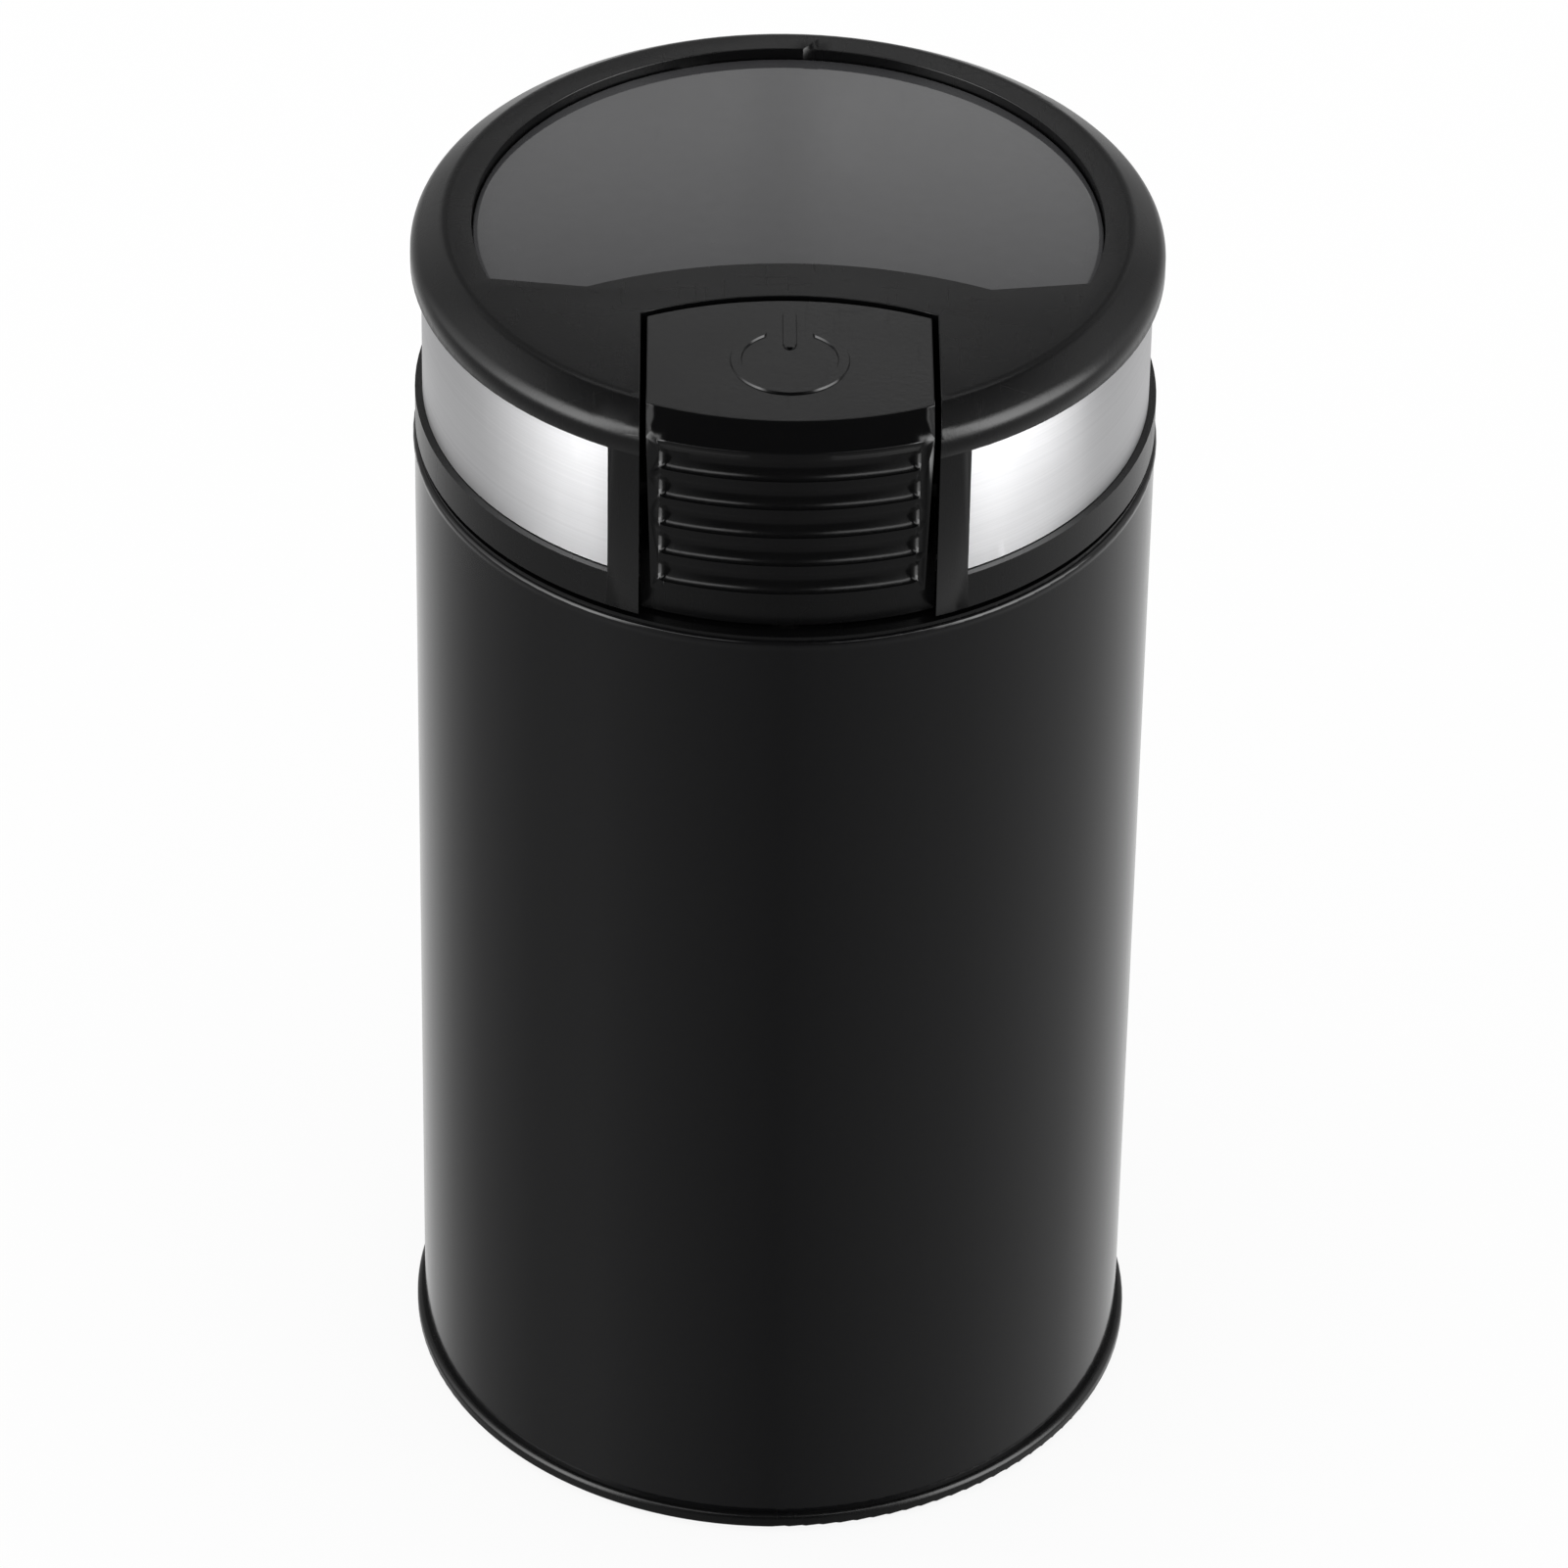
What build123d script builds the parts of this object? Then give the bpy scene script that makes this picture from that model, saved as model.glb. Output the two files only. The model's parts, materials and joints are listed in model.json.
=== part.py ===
from build123d import *

import os
from math import asin, cos, degrees, pi, radians, sin, sqrt

# Electric coffee grinder: a two-winged blade spins in a steel bowl under a push-button lid.
# Millimetres. The origin is on the resting surface, on the axis of the round body.
# The button faces -Y, the cord outlet faces +Y, and the lid lifts off along +Z.

# Outer form
foot_drop = 0.8             # the rubber feet stand this far below the base ring
ring_height = 2.0           # base ring that the steel body stands on
ring_proud = 1.05           # base ring beyond the body
body_radius = 47.2
body_height = 143.0
body_wall = 0.6
bead_height = 1.6           # rolled bead at the body's upper edge
bead_swell = 0.2
bead_neck = 0.64            # height of the slope under the bead
lid_gap = 1.0               # shadow gap between the body and the lid
lid_flange_height = 5.4     # lower flange of the lid, under the steel band
lid_flange_inset = 0.1      # the flange lies this far inside the body's radius
band_height = 18.9
band_thickness = 0.4
band_inset = 0.95           # the band lies this far inside the flange
rim_proud = 0.3             # upper rim of the lid beyond the body's radius
rim_side = 3.2              # upright part of the upper rim
rim_chamfer = 0.2           # along the rim's lower edge
rim_bevel_height = 2.7
rim_bevel_width = 4.1
rim_round = 2.4             # the lid's bevel is rounded into the side and the top
pillar_angle = 28.2         # the band ends at this angle each side of the front

# Clearances
fit_gap = 0.2               # between pieces of one body that slot together
moving_gap = 0.3            # between pieces that move past each other
shaft_gap = 0.05            # running fit, on the radius
rod_gap = 0.1               # sliding fit of the push rod and the plunger, on the radius
screw_gap = 0.05            # between a screw and its hole, on the radius
weld_gap = 0.1              # between pieces that are seated on one another
corner = 0.4                # small rounding of moulded edges
over = 1.0                  # cutters run this far past what they cut
bite = 0.5                  # joined forms run this far into each other

# Body interior
collar_wall = 2.0
collar_depth = 14.8         # how far the collar reaches down into the steel body
collar_lip = 0.5            # lip of the collar over the body's bead
collar_lip_inset = 0.3
deck_thickness = 3.4        # collar's deck, which the bowl hangs from
deck_drop = 3.2             # from the body's upper edge down to that deck
spigot_height = 4.6         # ring on the collar that centres the lid
rod_channel = 7.0           # room beside the bowl for the push rod
rod_wall = 0.6              # collar's wall between the bowl's flange and the rod
deck_margin = 0.9           # the spigot's bore beyond the bowl's flange
bowl_flange = 2.4
bowl_wall = 0.6
bowl_depth = 46.4
bowl_taper = 3.0            # the bowl narrows by this much on the radius
bowl_corner = 8.0
bowl_lip_round = 1.2        # between the bowl's wall and its flange
seal_thickness = 0.8        # rubber ring under the bowl's flange
leg_radius = 3.2            # three legs tie the collar to the chassis
leg_tuck = 1.2              # the legs reach this far in under the bowl's flange
leg_pad = 0.6               # chassis lobe under each leg, beyond it
chassis_deck = 2.8
chassis_wall = 2.0
chassis_inset = 0.5         # chassis skirt inside the bowl's floor radius
flange_thickness = 2.5      # foot flange of the chassis
vent_sill = 12.0            # the chassis windows start this far above that flange
vent_half = 9.0
hub_room = 0.7              # round the shaft inside the hub

# Base
base_plate = 2.4
base_recess = 1.8           # the plate lies this far above the base ring's lower edge
base_rim = 2.85             # width of the standing rim
spigot_depth = 16.0         # base spigot inside the steel body
post_height = 17.0          # screw posts on the base plate
post_radius = 4.2
post_inset = 9.6            # the posts stand this far inside the steel body
foot_inset = 8.6            # and the feet this far
foot_radius = 6.0
foot_stem = 2.0
foot_stem_rise = 0.6        # each stem's head stands this far above the plate
vent_count = 20
vent_inner = 11.0
vent_margin = 11.0          # from the vents' outer ends to the circle of feet
vent_width = 2.0
base_screw = 1.5            # radius of the case screws
head_height = 2.2
head_extra = 1.6            # screw heads beyond their shank, on the radius
recess_width = 0.8          # arms of the cross recess
recess_margin = 0.6         # metal left round the recess
case_screw_seat = 5.0       # the case screws' heads seat this far above the plate
case_screw_reach = 8.0      # their thread beyond the posts
deck_screw_reach = 12.0     # thread of the three chassis screws in the legs
hole_spare = 1.0            # screw holes run this far beyond the thread

# Cord outlet
outlet_height = 8.7         # centre of the outlet above the base ring's upper edge
outlet_bore = 3.2
outlet_wall = 1.2
outlet_flange = 2.0
outlet_thickness = 0.9
clamp_span = 14.0
clamp_thickness = 2.4
clamp_post_radius = 2.6
clamp_screw = 1.1
clamp_screw_reach = 6.0
clamp_grip = 1.0            # depth of the groove that grips the cord
gland_lip = 1.2             # inner flange of the grommet
gland_lip_inset = 0.4       # it is this much smaller than the outer one
gland_gap = 0.05            # between the outer flange and the steel body

# Motor
shaft_radius = 2.5
core_length = 24.0
core_slots = 12
air_gap = 0.5
motor_room = 1.5            # between the stator and the chassis wall
stator_flat_share = 0.9     # the stator's two flats, as a share of its radius
yoke_share = 0.2
pole_share = 0.53
core_share = 0.45           # the rotor core's radius, as a share of the stator's
shoe_depth = 2.4
shoe_angle = 56.0
coil_width = 3.7
coil_room = 0.6             # between the coils and the yoke
coil_round = 4.5
slot_mouth = 1.2            # open slots of the rotor core
slot_share = 0.4            # depth of the slots, as a share of the core's radius
slot_width = 2.6
tooth_tip = 1.5             # metal outside each slot
winding_length = 5.0        # end turns of the rotor winding
winding_inset = 1.6         # the end turns lie this far inside the core's radius
winding_bore = 3.3
winding_round = 2.0
winding_edge = 0.6
commutator_inset = 5.6      # the commutator is this much smaller than the core
commutator_length = 9.0
bar_gap_width = 0.5         # slots between the commutator's bars
bar_gap_depth = 0.8
fan_room = 2.0              # between the fan and the sleeves round it
fan_height = 4.6
fan_plate = 1.0
fan_blades = 9
fan_hub = 5.0
fan_blade_root = 8.0        # inner end of each fan blade
fan_blade_sweep = 5.5       # its outer end lags by this much
fan_blade_arc = 18.0
fan_blade_half = 0.5
fan_blade_inset = 0.6       # its middle line ends this far inside the fan's plate
bracket_plate = 2.4
bearing_radius = 7.0
bearing_height = 4.6
bearing_drop = 1.5          # from the commutator down to the lower bearing
cup_wall = 1.2
cup_land = 3.0              # plate left round each bearing cup
rim_land = 3.0              # plate left inside the circle of screws
spoke_gap = 6.5             # half width of each opening between spokes
shaft_room = 1.0            # round the shaft in the brackets
tie_inset = 3.0             # the four long motor screws stand this far inside the stator's edge
tie_radius = 1.5
tie_sleeve = 3.0
tie_tip = 1.0               # the screws end this far below the chassis deck's face
tie_cover = 0.8             # deck left above their holes
damper_height = 2.4
brush_side = 6.4
brush_share = 0.5           # length of the brushes, as a share of their holders' reach
holder_wall = 0.8
holder_inset = 4.0          # the holders end this far inside the stator's edge
holder_gap = 1.4            # from the commutator to each brush holder
holder_foot = 7.0           # bracket's block under each holder
holder_foot_half = 4.0
brush_spring_radius = 2.2
brush_spring_wire = 0.6
brush_spring_turns = 3

# Blade
hub_radius = 7.0            # chassis hub through the bowl's floor
hub_height = 6.1            # above the chassis deck
seal_radius = 5.5
seal_height = 3.6
carrier_height = 2.0
carrier_radius = 5.6
carrier_taper = 0.8
blade_thickness = 1.4
blade_width = 9.0
blade_tip_gap = 4.6
blade_rise = 5.0            # upward bend of one wing; its tip rises by four fifths of this
blade_dip = 2.5             # downward bend of the other wing
blade_boss = 6.1            # round middle of the blade
blade_edge = 1.6            # width of the ground edge
blade_edge_thickness = 0.3
blade_taper = 0.42          # share of the width lost at the tips
blade_twist = 12.0
nut_radius = 5.0
nut_height = 5.6
nut_hexagon_height = 3.36
nut_dome_radius = 4.2
nut_dome_round = 3.0
nut_cap = 1.4               # metal over the shaft's end

# Lid
lid_wall = 2.0
top_thickness = 2.6
window_border = 3.6         # flat of the lid round the window
window_recess = 1.5
window_thickness = 2.0
window_ledge = 2.4
window_frame = 2.6
window_arc = 60.0           # front edge of the window bows towards the rear
window_behind = 7.9         # its rearmost point lies this far behind the button
window_vertex_x = 25.3      # where that edge meets the slants at its sides
window_vertex_behind = 2.4
window_corner_behind = 4.0  # where the slants meet the round edge
liner_wall = 1.6
liner_plug = 6.0            # the liner's skirt reaches this far below the bowl's flange
liner_flange = 2.6
window_gap = 0.15
band_gap = 0.1              # above and below the band
band_end_gap = 0.15         # degrees, at each pillar
liner_headroom = 2.7        # from the liner's top up to the window's frame
liner_behind = 5.3          # flat front of the liner's dome lies this far behind the button
gasket_thickness = 0.6
boss_radius = 2.6
boss_inset = 0.6            # each boss stands this far off the lid's wall
front_boss_angle = 47.0     # the two front bosses, each side of the front
rear_boss_angle = 45.0      # and the two rear ones, each side of the rear
liner_screw = 1.1
liner_screw_reach = 8.0
liner_head = 2.2            # radius of the liner screws' heads
liner_head_depth = 1.4      # of the sinkings for those heads

# Button
button_half_width = 17.6
button_draft = 0.7          # the button narrows by this much each side at its lower edge
button_side_gap = 0.8
button_rear_gap = 0.6
button_rear_radius = 44.1
button_depth = 29.8         # from the rim's front to the rearmost point of the button's rear edge
button_travel = 3.0
button_clear = 4.8          # dark pocket under the button
button_rake = 0.5           # the front face leans in by this much at its lower edge
button_wall = 1.6
button_front_wall = 1.8
button_top_wall = 1.7
button_sink = 0.3           # the button's top lies this far below the lid's
louvre_count = 5
louvre_half_width = 16.0
louvre_height = 3.15
louvre_pitch = 4.28
louvre_top = 1.1            # first louvre below the bevel
louvre_deep = 1.3
louvre_shallow = 0.15
catch_height = 1.8
catch_reach = 2.2
catch_length = 6.0
catch_inset = 13.5          # front end of the catches behind the rim's front
louvre_round = 0.8
louvre_margin = 0.1         # the slots' floors run on this far past each slot
well_wall = 1.5
guide_floor = 1.6
apron_wall = 0.8
plunger_radius = 1.7
button_spring_radius = 3.6
button_spring_wire = 0.8
button_spring_turns = 6
spring_post = 4.0
spring_behind = 11.1        # axis of the button's spring behind the push rod
spring_cup_gap = 1.0        # round the spring, in the button's cup
spring_cup_wall = 0.6
spring_cup_depth = 2.0

# Push rod and switch
rod_radius = 1.8
rod_collar = 2.9
rod_collar_height = 1.5
rod_top_inset = 0.1         # the rod's top lies this far below the collar's lip
rod_foot_spare = 0.6        # the rod's foot reaches this far past the lever
rod_spring_radius = 2.5
rod_spring_wire = 0.6
rod_spring_turns = 6
rod_spring_length = 16.0
cage_width = 10.4
cage_wall = 1.6
cage_floor = 3.0
foot_thickness = 2.0
switch_length = 20.0
switch_depth = 6.4
switch_height = 10.0
switch_drop = 9.6           # from the chassis deck down to the switch lever's pin
lever_arm = 14.0            # from the lever's pin to the push rod
lever_width = 3.8
lever_thickness = 0.5
lever_eye = 1.2
lever_pin = 0.6
lever_tail = 3.0            # the lever's tip beyond the push rod
lever_pin_rise = 0.9        # the lever's pin above the switch's case
ear_half = 1.4              # ears that hold that pin
ear_rise = 1.3              # ears above the pin's axis
ear_notch = 1.8             # the case is cut back this far behind the pin
switch_overhang = 2.0       # the case beyond the lever's pin
pin_bore_depth = 4.0
pin_length = 3.0            # the switch's own plunger
pin_lever_gap = 0.25        # between that plunger and the lever
button_pin_arm = 6.0        # from the lever's pin to the switch's own plunger
switch_pin_radius = 0.9
switch_screw = 1.0
switch_screw_drop = 6.0     # the switch's screws lie this far below the top of its case
switch_screw_inset = 2.5    # first screw from the lever's pin
switch_screw_far = 1.5      # second screw, this far from the lever's tip
switch_screw_head = 1.2
switch_boss = 2.4
tag_places = (0.0, 7.5, 16.0)   # the three terminals, from the lever's pin
tag_half = 0.3
tag_half_width = 1.6
tag_length = 6.0
capacitor_width = 7.0
capacitor_height = 14.0
capacitor_round = 1.5
terminal_width = 8.0
terminal_height = 11.0
terminal_round = 1.0
terminal_well = 1.9
terminal_pitch_share = 0.3  # between the wells, as a share of the block's length
terminal_floor = 4.0        # under the wells
inset_parts = 13.6          # the capacitor and terminal block stand this far inside the steel body
inset_clear = 1.5           # and this far behind the stems of the feet at the sides

# Heights that follow from these
ring_bottom = foot_drop
body_bottom = ring_bottom + ring_height
body_top = body_bottom + body_height
lid_bottom = body_top + lid_gap
band_bottom = lid_bottom + lid_flange_height
band_top = band_bottom + band_height
bevel_bottom = band_top + rim_side
lid_top = bevel_bottom + rim_bevel_height
lip_top = body_top + collar_lip
deck_top = body_top - deck_drop
deck_bottom = deck_top - deck_thickness
bowl_flange_bottom = deck_top + seal_thickness
bowl_top = bowl_flange_bottom + bowl_wall
bowl_bottom = bowl_top - bowl_depth - bowl_wall
chassis_top = bowl_bottom - fit_gap
chassis_under = chassis_top - chassis_deck
plate_bottom = ring_bottom + base_recess
plate_top = plate_bottom + base_plate
post_top = plate_top + post_height
spigot_top = lip_top + spigot_height
liner_flange_bottom = spigot_top + moving_gap
liner_flange_top = liner_flange_bottom + liner_flange
window_top = lid_top - window_recess
window_bottom = window_top - window_thickness
frame_bottom = window_bottom - window_ledge
liner_top = frame_bottom - liner_headroom
button_bottom = lid_bottom + button_clear
button_top = lid_top - button_sink
button_under = button_top - button_top_wall
guide_top = liner_flange_top + guide_floor
skirt_bottom = guide_top + button_travel + moving_gap
screw_seat = plate_top + case_screw_seat
outlet_z = body_bottom + outlet_height
clamp_bottom = outlet_z + outlet_bore + fit_gap
hub_top = chassis_top + hub_height
carrier_bottom = hub_top + moving_gap
blade_bottom = carrier_bottom + carrier_height
blade_top = blade_bottom + blade_thickness
shaft_tip = blade_top + nut_height - nut_cap
liner_step_z = bowl_top + moving_gap + gasket_thickness
catch_low = skirt_bottom - button_travel - moving_gap
catch_high = skirt_bottom + catch_height + moving_gap

# Radii that follow from these
ring_radius = body_radius + ring_proud
body_inner = body_radius - body_wall
collar_radius = body_inner - fit_gap
bowl_flange_radius = collar_radius - rod_channel
bowl_mouth = bowl_flange_radius - bowl_flange
bowl_floor = bowl_mouth - bowl_taper
chassis_radius = bowl_floor - chassis_inset
chassis_inner = chassis_radius - chassis_wall
post_circle = body_inner - post_inset
foot_circle = body_inner - foot_inset
vent_outer = foot_circle - vent_margin
inset_x = body_inner - inset_parts
inset_front = foot_stem + inset_clear
inset_rear = post_circle / sqrt(2) - post_radius - fit_gap
inset_y = (inset_front + inset_rear) / 2
inset_length = inset_rear - inset_front
terminal_pitch = terminal_pitch_share * inset_length
lid_flange_radius = body_radius - lid_flange_inset
band_radius = lid_flange_radius - band_inset
band_seat = band_radius - band_thickness
lid_inner = band_seat - lid_wall
rim_radius = body_radius + rim_proud
rim_top_radius = rim_radius - rim_bevel_width
window_radius = rim_top_radius - window_border
button_rear = button_depth - rim_radius
catch_y = catch_inset - rim_radius
window_bow = button_rear + window_behind
window_vertex_y = button_rear + window_vertex_behind
window_corner_y = button_rear + window_corner_behind
liner_front = -button_rear - liner_behind
spigot_radius = lid_inner - moving_gap
rod_offset = bowl_flange_radius + rod_gap + rod_radius + rod_wall
spring_y = spring_behind - rod_offset
spigot_inner = bowl_flange_radius + deck_margin
plug_radius = bowl_mouth - 2 * moving_gap
liner_step = bowl_flange_radius
chassis_deck_radius = rod_offset - rod_radius - 2 * moving_gap
liner_inner = plug_radius - liner_wall
leg_circle = bowl_flange_radius + fit_gap + leg_radius - leg_tuck
button_rear_centre = button_rear - button_rear_radius
well_half_width = button_half_width + button_side_gap
well_rear_radius = button_rear_radius + button_rear_gap
well_outer = well_half_width + well_wall
spigot_gap_half = well_outer + fit_gap
button_inner = rim_radius - button_rake - button_front_wall
apron_radius = button_inner - moving_gap
boss_circle = lid_inner - boss_radius - boss_inset
blade_radius = bowl_floor - blade_tip_gap
spring_core = button_spring_radius - button_spring_wire / 2 - moving_gap
spring_cup = button_spring_radius + button_spring_wire / 2 + spring_cup_gap
outlet_hole = outlet_bore + outlet_wall + fit_gap
clamp_y = post_circle

# Motor radii, from the chassis wall inwards
stator_radius = chassis_inner - motor_room
stator_flat = stator_flat_share * stator_radius
yoke_inner = stator_radius * (1 - yoke_share)
pole_width = pole_share * stator_radius
core_radius = core_share * stator_radius
slot_length = slot_share * core_radius
winding_radius = core_radius - winding_inset
commutator_radius = core_radius - commutator_inset
tie_circle = stator_radius - tie_inset
fan_radius = tie_circle - tie_sleeve - fan_room
holder_reach = stator_radius - holder_inset
brush_length = brush_share * (holder_reach - commutator_radius)
coil_start = core_radius + air_gap + shoe_depth + fit_gap
coil_half = pole_width / 2 + fit_gap + coil_width
coil_depth = sqrt(yoke_inner ** 2 - coil_half ** 2) - coil_start - coil_room

# Motor heights, from the chassis deck downwards
bracket_top = chassis_under - damper_height
bracket_under = bracket_top - bracket_plate
fan_top = bracket_top - bearing_height - cup_wall - moving_gap
fan_bottom = fan_top - fan_height
core_top = fan_bottom - moving_gap - winding_length
core_bottom = core_top - core_length
winding_bottom = core_bottom - winding_length
commutator_bottom = winding_bottom - commutator_length
lower_top = commutator_bottom - bearing_drop
lower_plate_top = lower_top - bearing_height
lower_bottom = lower_plate_top - bracket_plate
brush_z = commutator_bottom + commutator_length / 2

# Switch and push rod
tilt = asin(button_travel / lever_arm)  # of the lever at rest, in radians
pin_z = chassis_top - switch_drop
switch_top = pin_z - lever_pin_rise
switch_bottom = switch_top - switch_height
switch_z = switch_top - switch_screw_drop
switch_y = -(chassis_radius + fit_gap + switch_depth / 2)
switch_face = switch_y + switch_depth / 2
switch_near = switch_y - switch_depth / 2
switch_screw_x = (-lever_arm + switch_screw_inset, lever_tail - switch_screw_far)
switch_pin_x = -lever_arm + button_pin_arm
lever_rise = (lever_arm + rod_radius) * sin(tilt) + lever_thickness
rod_bottom = pin_z + lever_rise + moving_gap
rod_top = lip_top - rod_top_inset
rod_collar_top = deck_bottom - moving_gap
cage_bottom = rod_collar_top - rod_collar_height - rod_spring_length - cage_floor
plunger_bottom = rod_top + moving_gap
plunger_top = button_under

BASE = (Align.CENTER, Align.CENTER, Align.MIN)


def disc(radius, low, high, x=0.0, y=0.0):
    """An upright cylinder between two heights."""
    return Pos(x, y, low) * Cylinder(radius, high - low, align=BASE)


def ring(outer, inner, low, high, x=0.0, y=0.0):
    """An upright tube between two heights."""
    return disc(outer, low, high, x, y) - disc(inner, low - over, high + over, x, y)


def block(x_low, x_high, y_low, y_high, z_low, z_high):
    """A box between two corners."""
    centre = ((x_low + x_high) / 2, (y_low + y_high) / 2, (z_low + z_high) / 2)
    return Pos(*centre) * Box(x_high - x_low, y_high - y_low, z_high - z_low)


def turned(points, radii=None):
    """A closed outline of (radius, height) points turned about Z, with rounded corners."""
    if radii is None:
        outline = Polyline(points, close=True)
    else:
        outline = FilletPolyline(points, radius=radii, close=True)
    return revolve(Plane.XZ * make_face(outline), Axis.Z)


def around(count, radius, start=0.0):
    """Places evenly spaced on a circle, as (x, y, angle)."""
    angles = [start + 360 * step / count for step in range(count)]
    return [(radius * cos(radians(a)), radius * sin(radians(a)), a) for a in angles]


def leg_places():
    """Centres of the three legs that tie the collar to the chassis; one is at the rear."""
    return around(3, leg_circle, 90)


def post_places():
    """Centres of the four screw posts, between the feet."""
    return around(4, post_circle, 45)


def foot_places():
    """Centres of the four feet, at the front, the rear and the sides."""
    return around(4, foot_circle)


def tie_places():
    """Centres of the motor's four long screws."""
    return around(4, tie_circle, 45)


def along_y(radius, x, z, y_low, y_high):
    """A cylinder that lies along Y."""
    return Pos(x, (y_low + y_high) / 2, z) * Rot(90, 0, 0) * Cylinder(radius, y_high - y_low)


def screw(radius, seat, tip, up, x=0.0, y=0.0):
    """A pan-head screw with a cross recess; its head lies below the seat when it points up."""
    way = 1 if up else -1
    head_far = seat - way * head_height
    head = disc(radius + head_extra, min(seat, head_far), max(seat, head_far), x, y)
    shank = disc(radius, min(seat, tip), max(seat, tip), x, y)
    arm = 2 * (radius + head_extra - recess_margin)
    recess = Box(arm, recess_width, head_height) + Box(recess_width, arm, head_height)
    return head + shank - Pos(x, y, head_far) * recess


def helix_path(radius, low, high, turns, wire):
    """A coil's centre line: half turns, each of two tangent arcs, with short level ends."""
    steps = 2 * turns
    rise = (high - low) / steps
    climb = rise / (pi * radius)
    edges = []

    def place(step):
        angle = pi * step
        point = Vector(radius * cos(angle), radius * sin(angle), low + rise * step)
        way = Vector(-sin(angle), cos(angle), climb).normalized()
        return point, way

    for step in range(steps):
        first, way_in = place(step)
        last, way_out = place(step + 1)
        span = last - first
        lean = way_in + way_out
        square = lean.dot(lean) - 4
        linear = -2 * span.dot(lean)
        reach = (-linear - sqrt(linear * linear - 4 * square * span.dot(span))) / (2 * square)
        if reach < 0:
            reach = (-linear + sqrt(linear * linear - 4 * square * span.dot(span))) / (2 * square)
        corner_in = first + way_in * reach
        corner_out = last - way_out * reach
        middle = (corner_in + corner_out) * 0.5
        edges.append(TangentArc(first, middle, tangent=way_in))
        edges.append(TangentArc(middle, last, tangent=corner_out - corner_in))
    start, way = place(0)
    end, way_end = place(steps)
    edges.insert(0, Line(start - way * wire, start))
    edges.append(Line(end, end + way_end * wire))
    return Wire([edge.edge() for edge in edges])


def coil_spring(name, radius, wire, low, high, turns):
    """A compression spring; its wire lies wholly between the two heights."""
    clearance = 0.65 * wire     # half the wire, and a little for the rise of its end turns
    path = helix_path(radius, low + clearance, high - clearance, turns, wire)
    section = Plane(origin=path @ 0, z_dir=path % 0) * Circle(wire / 2)
    gap = (high - low - 2 * clearance) / turns - wire
    print(name, "least gap between turns", round(gap, 3))
    return sweep(section, path=path)


def window_plan(inset):
    """The window's outline: a circle cut off in front by two slants and a rearward bow."""
    radius = window_radius - inset
    bow_centre = window_bow - window_arc
    corner_x = sqrt(window_radius ** 2 - window_corner_y ** 2)
    slant = (window_corner_y - window_vertex_y) / (corner_x - window_vertex_x)
    far = 2 * window_radius
    cut = window_vertex_y - slant * window_vertex_x + inset
    right = make_face(
        Polyline((0, cut), (far, cut + slant * far), (far, far), (0, far), close=True)
    )
    plan = Circle(radius) & (right + mirror(right, Plane.YZ))
    return plan - Pos(0, bow_centre) * Circle(window_arc + inset)


def liner_plan(inset):
    """The liner's dome from above: a circle with its front cut back by a rearward bow."""
    bow_centre = -liner_front - window_arc
    return Circle(plug_radius - inset) - Pos(0, bow_centre) * Circle(window_arc + inset)


def well_space(low, high, grow=0.0):
    """The upright space that the button stands in, open at the front of the lid."""
    rear = disc(well_rear_radius + grow, low, high, 0, button_rear_centre)
    half = well_half_width + grow
    return rear & block(-half, half, -rim_radius - over, 0, low, high)


def body_shell():
    """Steel tube with a rolled bead, pierced for the cord outlet."""
    bead = body_radius + bead_swell
    points = [
        (body_radius, body_bottom),
        (body_radius, body_top - bead_height),
        (bead, body_top - bead_height + bead_neck),
        (bead, body_top),
        (body_inner, body_top),
        (body_inner, body_bottom),
    ]
    tube = turned(points, [0, 0, 0, body_wall, 0, 0])
    return tube - along_y(outlet_hole, 0, outlet_z, 0, ring_radius)


def base_cover():
    """Moulded base: standing ring, spigot, screw posts, foot holes and a ring of vents."""
    points = [
        (ring_radius, ring_bottom),
        (ring_radius, body_bottom),
        (collar_radius, body_bottom),
        (collar_radius, body_bottom + spigot_depth),
        (collar_radius - collar_wall, body_bottom + spigot_depth),
        (collar_radius - collar_wall, plate_top),
        (0, plate_top),
        (0, plate_bottom),
        (ring_radius - base_rim, plate_bottom),
        (ring_radius - base_rim, ring_bottom),
    ]
    cover = turned(points, [corner, 2 * corner, 0, corner, corner, corner, 0, 0, 0, corner])
    for x, y, _ in post_places():
        cover += disc(post_radius, plate_top, post_top, x, y)
    for x in (-clamp_span / 2, clamp_span / 2):
        cover += disc(clamp_post_radius, plate_top, clamp_bottom, x, clamp_y)
    for x, y, _ in post_places():
        cover -= disc(base_screw + screw_gap, plate_bottom, post_top + over, x, y)
        cover -= disc(base_screw + head_extra + fit_gap, plate_bottom - over, screw_seat, x, y)
    for x, y, _ in foot_places():
        cover -= disc(foot_stem, plate_bottom - over, plate_top + over, x, y)
    for x in (-clamp_span / 2, clamp_span / 2):
        cover -= disc(clamp_screw + screw_gap, plate_top, clamp_bottom + over, x, clamp_y)
    slot = SlotOverall(vent_outer - vent_inner, vent_width)
    vent = extrude(Pos(0, 0, plate_bottom - over) * slot, base_plate + 2 * over)
    for x, y, angle in around(vent_count, (vent_inner + vent_outer) / 2, 180 / vent_count):
        cover -= Pos(x, y, 0) * Rot(0, 0, angle) * vent
    return cover - along_y(outlet_hole, 0, outlet_z, 0, ring_radius)


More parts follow.
